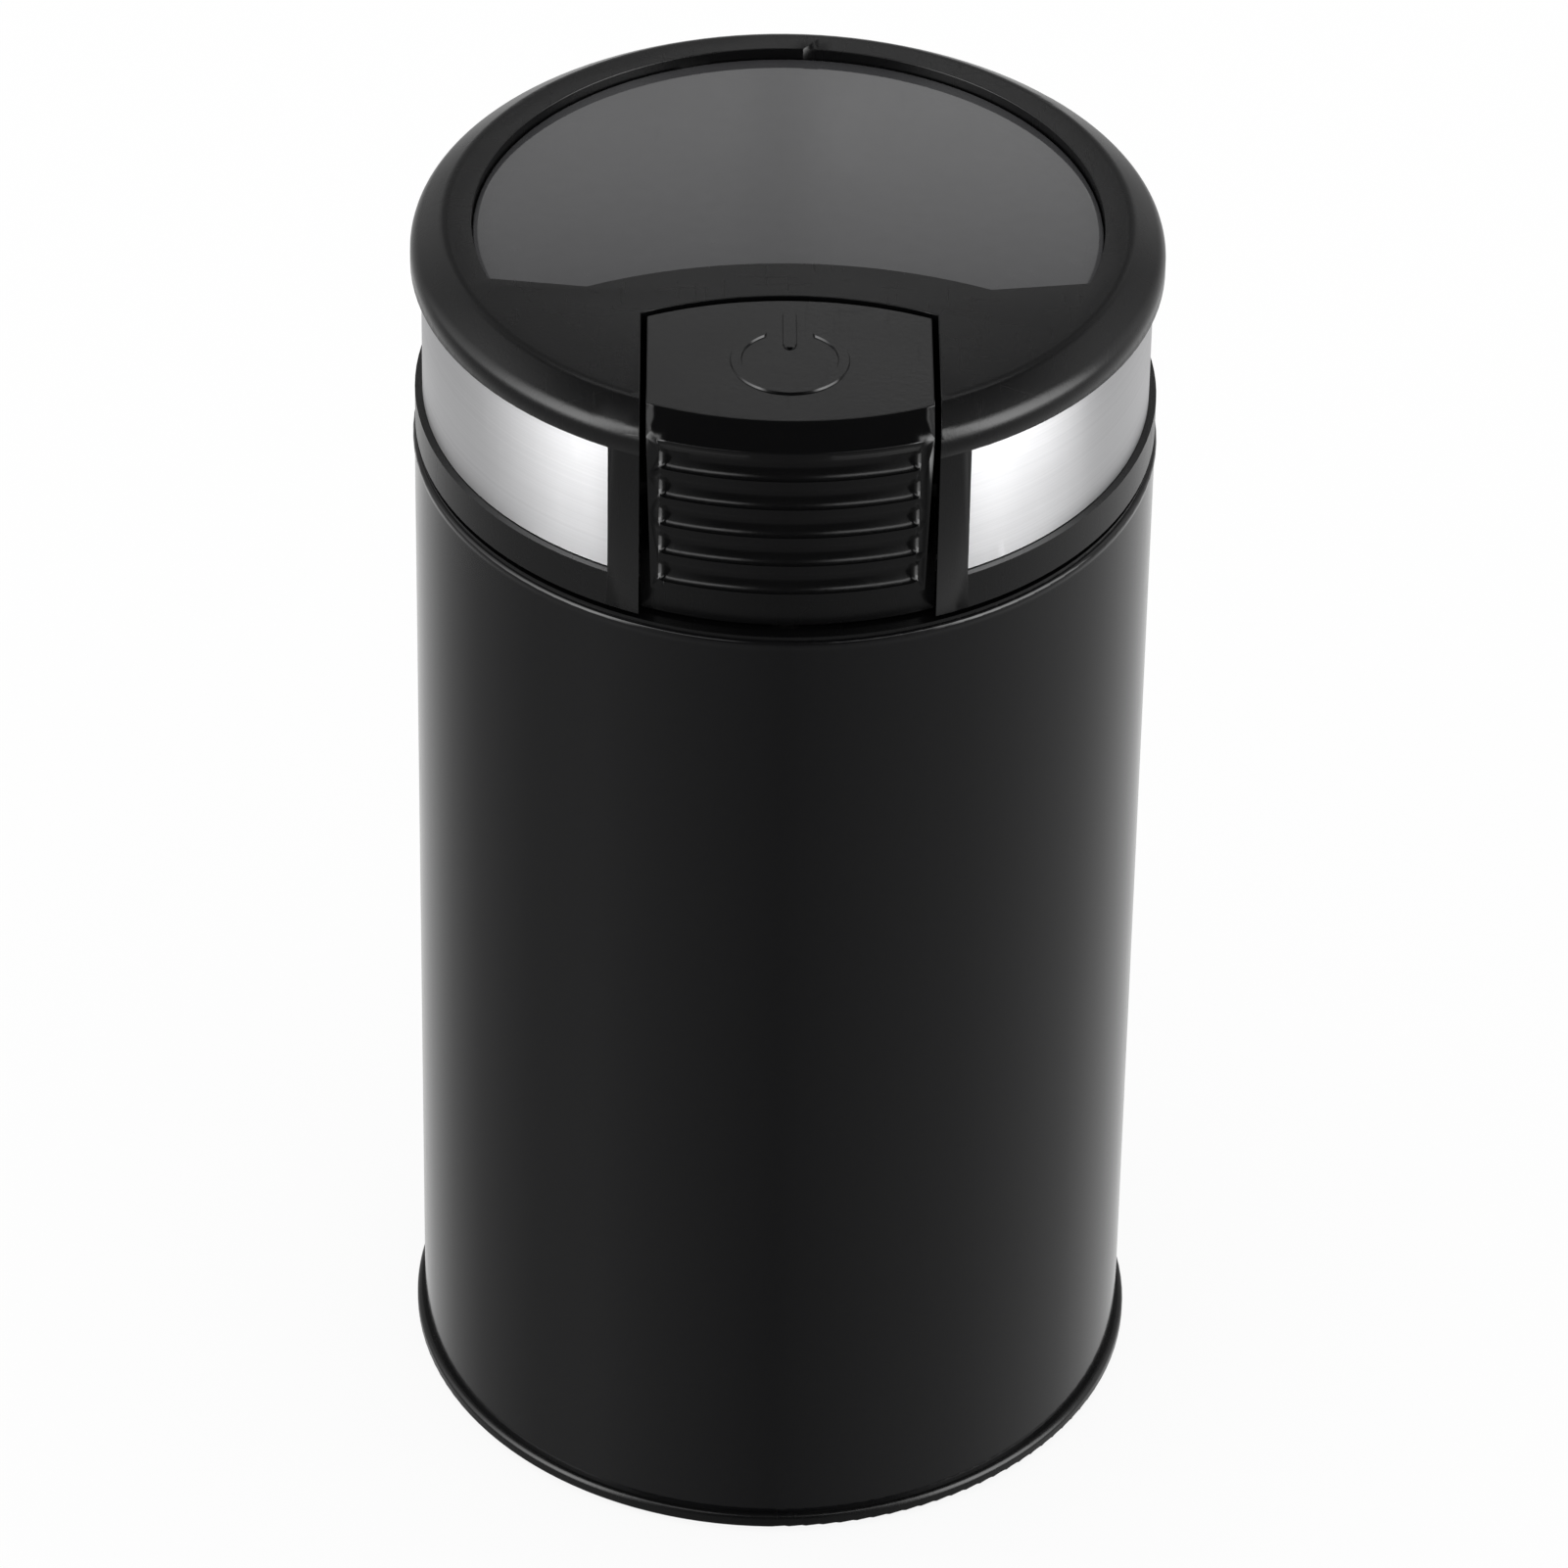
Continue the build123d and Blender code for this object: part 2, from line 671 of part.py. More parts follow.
def rubber_feet():
    """Four rubber pads, each with a stem through the base plate."""
    feet = []
    for x, y, _ in foot_places():
        points = [
            (0, 0),
            (foot_radius, 0),
            (foot_radius, plate_bottom),
            (foot_stem, plate_bottom),
            (foot_stem, plate_top + foot_stem_rise),
            (0, plate_top + foot_stem_rise),
        ]
        feet.append(Pos(x, y, 0) * turned(points, [0, 2 * corner, corner, 0, corner, 0]))
    return Compound(children=[foot.solid() for foot in feet])


def screw_group(radius, seat, tip, up, places):
    """Like screws at several places."""
    return Compound(children=[screw(radius, seat, tip, up, x, y).solid() for x, y in places])


def base_screws():
    """Four case screws, up through the base posts into the chassis."""
    places = [(x, y) for x, y, _ in post_places()]
    return screw_group(base_screw, screw_seat, post_top + case_screw_reach, True, places)


def top_collar():
    """Moulded collar: closes the steel body, carries the bowl and centres the lid."""
    inner = collar_radius - collar_wall
    points = [
        (collar_radius, body_top - collar_depth),
        (collar_radius, body_top),
        (body_radius - collar_lip_inset, body_top),
        (body_radius - collar_lip_inset, lip_top),
        (spigot_radius, lip_top),
        (spigot_radius, spigot_top),
        (spigot_inner, spigot_top),
        (spigot_inner, deck_top),
        (bowl_mouth + bowl_wall + fit_gap, deck_top),
        (bowl_mouth + bowl_wall + fit_gap, deck_bottom),
        (inner, deck_bottom),
        (inner, body_top - collar_depth),
    ]
    collar = turned(points)
    half = cage_width / 2
    collar -= block(
        -half, half, -collar_radius, -inner + over, body_top - collar_depth - over, deck_bottom
    )
    cage = block(
        -half, half, -rod_offset - rod_collar, -rod_offset + rod_collar, cage_bottom, deck_bottom
    )
    slot = half - cage_wall
    cage -= block(-slot, slot, -collar_radius, 0, cage_bottom + cage_floor, deck_bottom)
    collar += cage
    for x, y, _ in leg_places():
        collar += disc(leg_radius, chassis_top, deck_top - bite, x, y)
        deep = chassis_top + deck_screw_reach + 2 * hole_spare
        collar -= disc(base_screw + screw_gap, chassis_top - over, deep, x, y)
    front = block(-spigot_gap_half, spigot_gap_half, -body_radius, 0, lip_top, spigot_top + over)
    collar -= front
    return collar - disc(rod_radius + rod_gap, cage_bottom - over, lip_top + over, 0, -rod_offset)


def chassis_screws():
    """Three screws, up through the chassis deck into the collar's legs."""
    places = [(x, y) for x, y, _ in leg_places()]
    return screw_group(base_screw, chassis_under, chassis_top + deck_screw_reach, True, places)


def grinding_bowl():
    """Deep-drawn steel bowl with an out-turned flange and a hole for the hub."""
    hole = hub_radius + fit_gap
    outer = [
        (hole, bowl_bottom),
        (bowl_floor + bowl_wall, bowl_bottom),
        (bowl_mouth + bowl_wall, bowl_flange_bottom),
        (bowl_flange_radius, bowl_flange_bottom),
        (bowl_flange_radius, bowl_top),
        (bowl_mouth, bowl_top),
        (bowl_floor, bowl_bottom + bowl_wall),
        (hole, bowl_bottom + bowl_wall),
    ]
    radii = [0, bowl_corner + bowl_wall, 0, 0, 0, bowl_lip_round, bowl_corner, 0]
    return turned(outer, radii)


def bowl_seal():
    """Rubber ring between the collar's deck and the bowl's flange."""
    return ring(bowl_flange_radius, bowl_mouth + bowl_wall + fit_gap, deck_top, bowl_flange_bottom)


def chassis():
    """Moulded chassis: deck and hub under the bowl, skirt round the motor, foot flange."""
    frame = disc(chassis_deck_radius, chassis_under, chassis_top)
    frame += ring(chassis_radius, chassis_inner, post_top, chassis_top)
    frame += ring(post_circle + post_radius, chassis_inner, post_top, post_top + flange_thickness)
    frame += disc(hub_radius, chassis_under, hub_top)
    for x, y, _ in leg_places():
        frame += disc(leg_radius + leg_pad, chassis_under, chassis_top, x, y)
    for x, y, _ in post_places():
        deep = post_top + case_screw_reach + hole_spare
        frame += disc(post_radius - moving_gap, post_top, deep + over, x, y)
    for x in switch_screw_x:
        frame += along_y(switch_boss, x, switch_z, switch_face, -chassis_inner + chassis_wall)
    sill = post_top + flange_thickness + vent_sill
    for _, _, angle in around(4, 1, 0):
        opening = block(chassis_inner / 2, 2 * chassis_radius, -vent_half, vent_half, sill, core_top)
        frame -= Rot(0, 0, angle) * opening
    frame -= disc(chassis_inner, post_top - over, chassis_under)
    frame -= disc(shaft_radius + hub_room, chassis_under - over, hub_top + over)
    frame -= disc(seal_radius, hub_top - seal_height, hub_top + over)
    for x, y, _ in leg_places():
        frame -= disc(base_screw + screw_gap, chassis_under - over, chassis_top + over, x, y)
    for x, y, _ in post_places():
        frame -= disc(base_screw + screw_gap, post_top - over, deep, x, y)
    for x, y, _ in tie_places():
        frame -= disc(tie_radius + screw_gap, chassis_under - over, chassis_top - tie_cover, x, y)
    for x in switch_screw_x:
        frame -= along_y(switch_screw + screw_gap, x, switch_z, switch_face - over, -chassis_inner - over)
    return frame


def shaft_seal():
    """Lip seal in the hub, round the motor shaft."""
    return ring(seal_radius, shaft_radius + shaft_gap, hub_top - seal_height, hub_top - corner)


def stator_core():
    """Laminated stator with two poles, each with a broad shoe round the rotor."""
    outer = Circle(stator_radius) & Rectangle(2 * stator_radius, 2 * stator_flat)
    bore = core_radius + air_gap
    cavity = Circle(yoke_inner)
    neck = Rectangle(yoke_inner + stator_radius, pole_width)
    reach = 2 * stator_radius
    rise = reach * sin(radians(shoe_angle))
    run = reach * cos(radians(shoe_angle))
    wedge = make_face(Polyline((0, 0), (run, -rise), (run, rise), close=True))
    shoes = Circle(bore + shoe_depth) & (wedge + mirror(wedge, Plane.YZ))
    plan = outer - (cavity - neck - shoes) - Circle(bore)
    core = extrude(Pos(0, 0, core_bottom) * plan, core_length)
    for x, y, _ in tie_places():
        core -= disc(tie_radius + screw_gap, core_bottom - over, core_top + over, x, y)
    return core


def field_coil(side):
    """One wound coil round a stator pole."""
    middle = (core_bottom + core_top) / 2
    inner_y = pole_width / 2 + fit_gap
    inner_z = core_length / 2 + fit_gap
    opening = RectangleRounded(2 * inner_y, 2 * inner_z, 2 * fit_gap)
    outside = RectangleRounded(2 * coil_half, 2 * (inner_z + coil_width), coil_round)
    loop = extrude(Plane.YZ * (outside - opening), coil_depth)
    placed = Pos(coil_start, 0, middle) * loop
    return placed if side > 0 else mirror(placed, Plane.YZ)


def bracket(low, high, cup_low, cup_high, bore_low, bore_high, legs):
    """A motor end bracket: spoked plate, bearing cup and four sleeves to the stator."""
    plate = disc(tie_circle + tie_sleeve + corner, low, high)
    cup = bearing_radius + cup_wall
    for _, _, angle in around(4, 1, 0):
        opening = ring(tie_circle - rim_land, cup + cup_land, low - over, high + over)
        sector = block(0, tie_circle, -spoke_gap, spoke_gap, low - over, high + over)
        plate -= Rot(0, 0, angle) * (opening & sector)
    plate += disc(cup, cup_low, cup_high)
    for x, y, _ in tie_places():
        plate += disc(tie_sleeve, legs[0], legs[1], x, y)
    plate -= disc(bearing_radius, bore_low, bore_high)
    plate -= disc(shaft_radius + shaft_room, cup_low - over, cup_high + over)
    for x, y, _ in tie_places():
        plate -= disc(tie_radius + screw_gap, min(low, legs[0]) - over, max(high, legs[1]) + over, x, y)
    return plate


def upper_bracket():
    """End bracket above the fan, under the chassis deck."""
    cup_low = bracket_top - bearing_height - cup_wall
    return bracket(
        bracket_under, bracket_top, cup_low, bracket_top,
        cup_low + cup_wall, bracket_top + over, (core_top, bracket_top),
    )


def lower_bracket():
    """End bracket below the commutator; it also carries the two brush holders."""
    frame = bracket(
        lower_bottom, lower_plate_top, lower_bottom, lower_top,
        lower_top - bearing_height, lower_top + over, (lower_bottom, core_bottom),
    )
    seat = brush_z - brush_side / 2 - holder_wall - fit_gap
    for side in (-1, 1):
        middle = side * (holder_reach - holder_wall - holder_foot / 2)
        frame += block(middle - holder_foot / 2, middle + holder_foot / 2,
                       -holder_foot_half, holder_foot_half, lower_bottom, seat)
    return frame


def bearing(bottom):
    """A plain bearing ring with a rounded shoulder."""
    points = [
        (shaft_radius + shaft_gap, bottom),
        (bearing_radius, bottom),
        (bearing_radius, bottom + bearing_height),
        (shaft_radius + shaft_gap, bottom + bearing_height),
    ]
    return turned(points, [0, corner, corner, 0])


def tie_screws():
    """Four long screws that hold brackets, stator and dampers to the chassis deck."""
    places = [(x, y) for x, y, _ in tie_places()]
    return screw_group(tie_radius, lower_bottom, chassis_top - tie_tip, True, places)


def damper_bushes():
    """Four rubber rings between the upper bracket and the chassis deck."""
    rings = []
    for x, y, _ in tie_places():
        rings.append(ring(tie_sleeve, tie_radius + screw_gap, bracket_top, chassis_under, x, y))
    return Compound(children=[item.solid() for item in rings])


def brush_holders():
    """Two brass tubes of square section that guide the carbon brushes."""
    outer = brush_side + 2 * (fit_gap + holder_wall)
    inner = brush_side + 2 * fit_gap
    near = commutator_radius + holder_gap
    middle = (near + holder_reach) / 2
    length = holder_reach - near
    tube = Pos(middle, 0, brush_z) * Box(length, outer, outer)
    tube -= Pos(middle - holder_wall, 0, brush_z) * Box(length, inner, inner)
    return Compound(children=[tube.solid(), mirror(tube, Plane.YZ).solid()])


def carbon_brushes():
    """Two carbon blocks, hollowed at the end that rides on the commutator."""
    near = commutator_radius
    brush = block(
        near - over, near + brush_length, -brush_side / 2, brush_side / 2,
        brush_z - brush_side / 2, brush_z + brush_side / 2,
    )
    brush -= disc(commutator_radius + shaft_gap, commutator_bottom - over, core_bottom)
    return Compound(children=[brush.solid(), mirror(brush, Plane.YZ).solid()])


def brush_springs():
    """Two small coil springs that press the brushes inwards."""
    low = commutator_radius + brush_length
    high = holder_reach - holder_wall
    spring = coil_spring(
        "brush spring", brush_spring_radius, brush_spring_wire, low, high, brush_spring_turns
    )
    laid = Pos(0, 0, brush_z) * Rot(0, 90, 0) * spring
    return Compound(children=[laid.solid(), mirror(laid, Plane.YZ).solid()])


def motor_shaft():
    """Ground steel shaft with chamfered ends."""
    low = lower_top - bearing_height + fit_gap
    points = [(0, low), (shaft_radius, low), (shaft_radius, shaft_tip), (0, shaft_tip)]
    return turned(points, [0, corner, 2 * corner, 0])


def rotor_core():
    """Laminated rotor with open slots between T-shaped teeth."""
    plan = Circle(core_radius) - Circle(shaft_radius)
    mouth = Pos(core_radius, 0) * Rectangle(2 * (tooth_tip + slot_mouth / 2), slot_mouth)
    pocket = Pos(core_radius - tooth_tip - slot_length / 2, 0) * SlotOverall(slot_length, slot_width)
    for _, _, angle in around(core_slots, 1, 0):
        plan -= Rot(0, 0, angle) * (mouth + pocket)
    return extrude(Pos(0, 0, core_bottom) * plan, core_length)


def rotor_winding():
    """End turns of the rotor winding, one bulge at each end of the core."""
    bulges = []
    for low, high in ((core_top, core_top + winding_length), (winding_bottom, core_bottom)):
        points = [(winding_bore, low), (winding_radius, low), (winding_radius, high), (winding_bore, high)]
        rounds = [corner, winding_edge, winding_round, corner]
        if high == core_bottom:
            rounds = [corner, winding_round, winding_edge, corner]
        bulges.append(turned(points, rounds).solid())
    return Compound(children=bulges)


def commutator():
    """Copper commutator, parted into bars by narrow slots."""
    drum = ring(commutator_radius, shaft_radius, commutator_bottom, winding_bottom)
    for _, _, angle in around(core_slots, 1, 180 / core_slots):
        cut = block(commutator_radius - bar_gap_depth, commutator_radius + over,
                    -bar_gap_width / 2, bar_gap_width / 2,
                    commutator_bottom - over, winding_bottom - bar_gap_depth)
        drum -= Rot(0, 0, angle) * cut
    return drum


def cooling_fan():
    """Moulded fan: hub, plate and raked blades."""
    fan = disc(fan_radius, fan_bottom, fan_bottom + fan_plate)
    fan += disc(fan_hub, fan_bottom, fan_top)
    tip = (fan_radius - fan_blade_inset, fan_blade_sweep)
    arc = RadiusArc((fan_blade_root, 0), tip, -fan_blade_arc)
    blade_face = Wire([arc.edge()]).offset_2d(fan_blade_half, side=Side.BOTH)
    blade = extrude(Pos(0, 0, fan_bottom) * make_face(blade_face.edges()), fan_height)
    for _, _, angle in around(fan_blades, 1, 0):
        fan += Rot(0, 0, angle) * blade
    return fan - disc(shaft_radius, fan_bottom - over, fan_top + over)


def blade_carrier():
    """Hub under the blade, pressed on the shaft."""
    points = [
        (shaft_radius, carrier_bottom),
        (carrier_radius - carrier_taper, carrier_bottom),
        (carrier_radius, blade_bottom),
        (shaft_radius, blade_bottom),
    ]
    return turned(points)


def blade_wing(bend):
    """Half of the blade: a flat root, then a twist, a bend and a taper up to the tip."""
    sections = []
    stations = (0.0, 0.1, 0.35, 0.65, 1.0)
    root = carrier_radius - bite
    middle = (blade_bottom + blade_top) / 2
    for part in stations:
        x = root + part * (blade_radius - root)
        grow = max(0.0, part - stations[1])
        lift = bend * grow * grow
        width = blade_width * (1 - blade_taper * grow * grow)
        turn = blade_twist * grow * (1 if bend > 0 else -1)
        plane = Plane(origin=(x, 0, middle + lift), x_dir=(0, 1, 0), z_dir=(1, 0, 0))
        half = width / 2
        thick = blade_thickness / 2
        section = Polyline(
            (-half, -thick), (half - blade_edge, -thick), (half, thick - blade_edge_thickness),
            (half, thick), (-half, thick), close=True,
        )
        sections.append(plane * Rot(0, 0, turn) * make_face(section))
    return loft(sections, ruled=True)


def grinder_blade():
    """Stamped steel blade with two sharpened wings."""
    middle = disc(blade_boss, blade_bottom, blade_top)
    bar = block(-carrier_radius, carrier_radius, -blade_width / 2, blade_width / 2,
                blade_bottom, blade_top)
    blade = middle + bar + blade_wing(blade_rise)
    blade += Rot(0, 0, 180) * blade_wing(-blade_dip)
    return blade - disc(shaft_radius, blade_bottom - over, blade_top + over)


def blade_nut():
    """Domed hexagon nut that clamps the blade."""
    hexagon = extrude(Pos(0, 0, blade_top) * RegularPolygon(nut_radius, 6), nut_hexagon_height)
    top = blade_top + nut_height
    points = [(0, blade_top), (nut_dome_radius, blade_top), (nut_dome_radius, top), (0, top)]
    dome = turned(points, [0, 0, nut_dome_round, 0])
    return hexagon + dome - disc(shaft_radius, blade_top - over, shaft_tip)


def lid_shell():
    """Moulded lid: bevelled rim, band seat, window frame, pillars and the button's well."""
    points = [
        (lid_flange_radius - corner, lid_bottom),
        (lid_flange_radius, lid_bottom + corner),
        (lid_flange_radius, band_top),
        (rim_radius - rim_chamfer, band_top),
        (rim_radius, band_top + rim_chamfer),
        (rim_radius, bevel_bottom),
        (rim_top_radius, lid_top),
        (0, lid_top),
        (0, lid_top - top_thickness),
        (lid_inner, lid_top - top_thickness),
        (lid_inner, lid_bottom),
    ]
    shell = turned(points, [0, 0, 0, 0, 0, rim_round, rim_round, 0, 0, 0, 0])
    seat = ring(lid_flange_radius + over, band_seat, band_bottom, band_top)
    shell -= seat - front_sector(pillar_angle, band_bottom - over, band_top + over)
    frame = extrude(Pos(0, 0, frame_bottom) * window_plan(-window_frame), lid_top - frame_bottom - over)
    shell += frame & disc(lid_inner + bite, frame_bottom, lid_top)
    for x, y in liner_screw_places():
        shell += disc(boss_radius, liner_flange_top, lid_top - over, x, y)
    walls = well_space(liner_flange_top, lid_top - over, well_wall)
    shell += walls & disc(lid_inner + bite, liner_flange_top, lid_top - over)
    shell -= extrude(Pos(0, 0, window_bottom) * window_plan(0), lid_top)
    shell -= extrude(Pos(0, 0, frame_bottom - over) * window_plan(window_ledge), lid_top)
    shell -= well_space(lid_bottom - over, lid_top + over)
    shell -= block(-well_outer - over, well_outer + over, catch_y - moving_gap,
                   catch_y + catch_length + moving_gap, catch_low, catch_high)
    for x, y in liner_screw_places():
        deep = liner_flange_top + liner_screw_reach + hole_spare
        shell -= disc(liner_screw + screw_gap, liner_flange_top - over, deep, x, y)
    return shell


def liner_screw_places():
    """Centres of the four screws that hold the liner."""
    angles = (90 - rear_boss_angle, 90 + rear_boss_angle, -90 + front_boss_angle, -90 - front_boss_angle)
    return [(boss_circle * cos(radians(a)), boss_circle * sin(radians(a))) for a in angles]


def front_sector(half_angle, low, high):
    """A wedge about -Y, from the axis out past the rim."""
    reach = 2 * rim_radius
    x = reach * sin(radians(half_angle))
    y = -reach * cos(radians(half_angle))
    plan = make_face(Polyline((0, 0), (-x, y), (x, y), close=True))
    return extrude(Pos(0, 0, low) * plan, high - low)


def steel_band():
    """Brushed steel band, bent to a C round the lid's pillars."""
    band = ring(band_radius, band_seat, band_bottom + band_gap, band_top - band_gap)
    return band - front_sector(pillar_angle + band_end_gap, band_bottom - over, band_top + over)


def lid_window():
    """Smoked window, let into the lid's frame."""
    return extrude(Pos(0, 0, window_bottom) * window_plan(window_gap), window_thickness)


def lid_liner():
    """Clear inner cup of the lid: plug skirt, step for the gasket, flange and dome."""
    points = [
        (liner_inner, bowl_top - liner_plug),
        (plug_radius, bowl_top - liner_plug),
        (plug_radius, liner_step_z),
        (liner_step, liner_step_z),
        (liner_step, liner_flange_bottom),
        (spigot_radius, liner_flange_bottom),
        (spigot_radius, liner_flange_top),
        (liner_inner, liner_flange_top),
    ]
    cup = turned(points, [corner, corner, 0, corner, 0, 0, corner, 0])
    cup += disc(liner_inner + over, liner_flange_bottom, liner_flange_top)
    cup += extrude(Pos(0, 0, liner_flange_bottom) * liner_plan(0), liner_top - liner_flange_bottom)
    cup -= extrude(
        Pos(0, 0, liner_flange_bottom - over) * liner_plan(liner_wall),
        liner_top - liner_wall - liner_flange_bottom + over,
    )
    notch = rod_offset - rod_radius - moving_gap - fit_gap
    cup -= block(-well_outer, well_outer, -rim_radius, -notch, liner_flange_bottom - over,
                 liner_flange_top + over)
    for x, y in liner_screw_places():
        cup -= disc(liner_screw + screw_gap, liner_flange_bottom - over, liner_flange_top + over, x, y)
        sinking = liner_flange_bottom + liner_head_depth
        cup -= disc(liner_head + fit_gap, liner_flange_bottom - over, sinking, x, y)
    return cup


def lid_gasket():
    """Silicone ring under the liner's step, just above the bowl's flange."""
    return ring(liner_step - weld_gap, plug_radius, liner_step_z - gasket_thickness, liner_step_z)


def liner_screws():
    """Four small screws with sunk heads that hold the liner in the lid."""
    items = []
    for x, y in liner_screw_places():
        low = liner_flange_bottom + weld_gap
        head = disc(liner_head, low, liner_flange_bottom + liner_head_depth, x, y)
        shank = disc(liner_screw, low + bite, liner_flange_top + liner_screw_reach, x, y)
        arm = 2 * (liner_head - recess_margin)
        recess = Box(arm, recess_width, liner_head_depth) + Box(recess_width, arm, liner_head_depth)
        items.append((head + shank - Pos(x, y, low) * recess).solid())
    return Compound(children=items)


def button_guide():
    """Tray at the foot of the button's well: floor, front apron, spring post, plunger bore."""
    inside = disc(apron_radius, lid_bottom, guide_top)
    half = well_half_width - fit_gap
    floor = inside & block(-half, half, -rim_radius, 0, liner_flange_top, guide_top)
    floor &= disc(well_rear_radius - fit_gap, lid_bottom, guide_top, 0, button_rear_centre)
    apron = ring(apron_radius, apron_radius - apron_wall, lid_bottom, guide_top)
    apron &= block(-half, half, -rim_radius, 0, lid_bottom, guide_top)
    tray = floor + apron
    tray += disc(spring_core, guide_top - bite, guide_top + spring_post, 0, spring_y)
    return tray - disc(plunger_radius + rod_gap, lid_bottom - over, guide_top + over, 0, -rod_offset)


def button_spring():
    """Return spring of the button, on the guide's post."""
    high = button_under - weld_gap
    spring = coil_spring("button spring", button_spring_radius, button_spring_wire,
                         guide_top, high, button_spring_turns)
    return Pos(0, spring_y, 0) * spring


def button_block(inset, low, high):
    """The button's tapered, bevelled block, or the same form drawn in by a wall."""
    half_low = button_half_width - button_draft - inset
    half_high = button_half_width - inset
    side = make_face(
        Polyline((-half_low, button_bottom), (half_low, button_bottom), (half_high, bevel_bottom),
                 (half_high, lid_top + over), (-half_high, lid_top + over), (-half_high, bevel_bottom),
                 close=True)
    )
    wedge = extrude(Plane.XZ * side, 2 * rim_radius)
    rear = disc(button_rear_radius - inset, low, high, 0, button_rear_centre)
    return wedge & rear & block(-rim_radius, rim_radius, -2 * rim_radius, 0, low, high)


def louvres():
    """Cutters for the slots in the button's front: deep above, shallow below."""
    cutters = []
    first = bevel_bottom - louvre_top
    lean = button_rake / (bevel_bottom - button_bottom)
    for step in range(louvre_count):
        high = first - step * louvre_pitch
        low = high - louvre_height
        face_high = rim_radius - lean * (bevel_bottom - high)
        face_low = rim_radius - lean * (bevel_bottom - low)
        mouth = RectangleRounded(2 * louvre_half_width, louvre_height, louvre_round)
        slot = extrude(Plane.XZ * (Pos(0, (low + high) / 2) * mouth), 2 * rim_radius)
        core = turned([
            (0, low - louvre_margin), (face_low - louvre_shallow, low - louvre_margin),
            (face_high - louvre_deep, high + louvre_margin), (0, high + louvre_margin),
        ])
        cutters.append(slot - core)
    return cutters


def power_button():
    """Push button: dished cap over the lid's front edge, with a louvred front wall."""
    outer = turned([
        (0, button_bottom),
        (rim_radius - button_rake, button_bottom),
        (rim_radius, bevel_bottom),
        (rim_top_radius, lid_top),
        (0, lid_top),
    ])
    cap = outer & button_block(0, button_bottom, button_top)
    hollow = disc(button_inner, button_bottom - over, button_under)
    cap -= hollow & button_block(button_wall, button_bottom - over, button_under)
    cap -= disc(button_inner, button_bottom - over, skirt_bottom)
    for cutter in louvres():
        cap -= cutter
    half = button_half_width - button_draft
    for side in (-1, 1):
        ends = sorted((side * (half - button_wall / 2), side * (half + catch_reach)))
        cap += block(ends[0], ends[1], catch_y, catch_y + catch_length,
                     skirt_bottom, skirt_bottom + catch_height)
    return cap + ring(spring_cup + spring_cup_wall, spring_cup,
                      button_under - spring_cup_depth, button_under, 0, spring_y)


def button_plunger():
    """Pin under the button's front edge that reaches down to the push rod."""
    return disc(plunger_radius, plunger_bottom, plunger_top, 0, -rod_offset)


def push_rod():
    """Push rod beside the bowl: spring collar, long shank and an inward foot."""
    rod = disc(rod_radius, rod_bottom, rod_top, 0, -rod_offset)
    rod += disc(rod_collar, rod_collar_top - rod_collar_height, rod_collar_top, 0, -rod_offset)
    inward = switch_y + lever_width / 2 + rod_foot_spare
    return rod + block(-rod_radius, rod_radius, -rod_offset, inward,
                       rod_bottom, rod_bottom + foot_thickness)


def rod_spring():
    """Return spring of the push rod, in the collar's cage."""
    high = rod_collar_top - rod_collar_height
    spring = coil_spring("rod spring", rod_spring_radius, rod_spring_wire,
                         high - rod_spring_length, high - weld_gap, rod_spring_turns)
    return Pos(0, -rod_offset, 0) * spring


def microswitch():
    """Switch case with two ears and the pin that its lever turns on."""
    low = -lever_arm - switch_overhang
    case = block(low, low + switch_length, switch_near, switch_face, switch_bottom, switch_top)
    ear = (switch_depth - lever_width) / 2 - fit_gap
    for side_y in (switch_near, switch_face - ear):
        case += block(-lever_arm - ear_half, -lever_arm + ear_half, side_y, side_y + ear,
                      switch_top, pin_z + ear_rise)
    case -= block(low - over, -lever_arm + ear_notch, switch_near + ear, switch_face - ear,
                  pin_z - lever_eye - moving_gap, pin_z + ear_rise + over)
    case += along_y(lever_pin, -lever_arm, pin_z, switch_near, switch_face)
    for x in switch_screw_x:
        case -= along_y(switch_screw + screw_gap, x, switch_z, switch_near - over, switch_face + over)
    return case - disc(switch_pin_radius + rod_gap, switch_top - pin_bore_depth, switch_top + over,
                       switch_pin_x, switch_y)


def switch_terminals():
    """Three brass tags under the switch."""
    tags = []
    for place in tag_places:
        x = place - lever_arm
        tag = block(x - tag_half, x + tag_half, switch_y - tag_half_width, switch_y + tag_half_width,
                    switch_bottom - tag_length, switch_bottom)
        tags.append(tag.solid())
    return Compound(children=tags)


def switch_screws():
    """Two screws that hold the switch to the chassis."""
    items = []
    for x in switch_screw_x:
        head = along_y(2 * switch_screw, x, switch_z, switch_near - switch_screw_head, switch_near)
        shank = along_y(switch_screw, x, switch_z, switch_near - bite, -chassis_inner - chassis_wall / 2)
        items.append((head + shank).solid())
    return Compound(children=items)


def switch_lever():
    """Steel lever with a rolled eye; at rest its tip stands up under the push rod."""
    length = lever_arm + lever_tail
    front = switch_y - lever_width / 2
    back = switch_y + lever_width / 2
    plate = block(-lever_arm + lever_eye - bite, -lever_arm + length, front, back,
                  pin_z - lever_thickness / 2, pin_z + lever_thickness / 2)
    eye = along_y(lever_eye, -lever_arm, pin_z, front, back)
    bore = along_y(lever_pin + shaft_gap, -lever_arm, pin_z, front - over, back + over)
    lever = plate + eye - bore
    return lever.rotate(Axis((-lever_arm, switch_y, pin_z), (0, 1, 0)), -degrees(tilt))


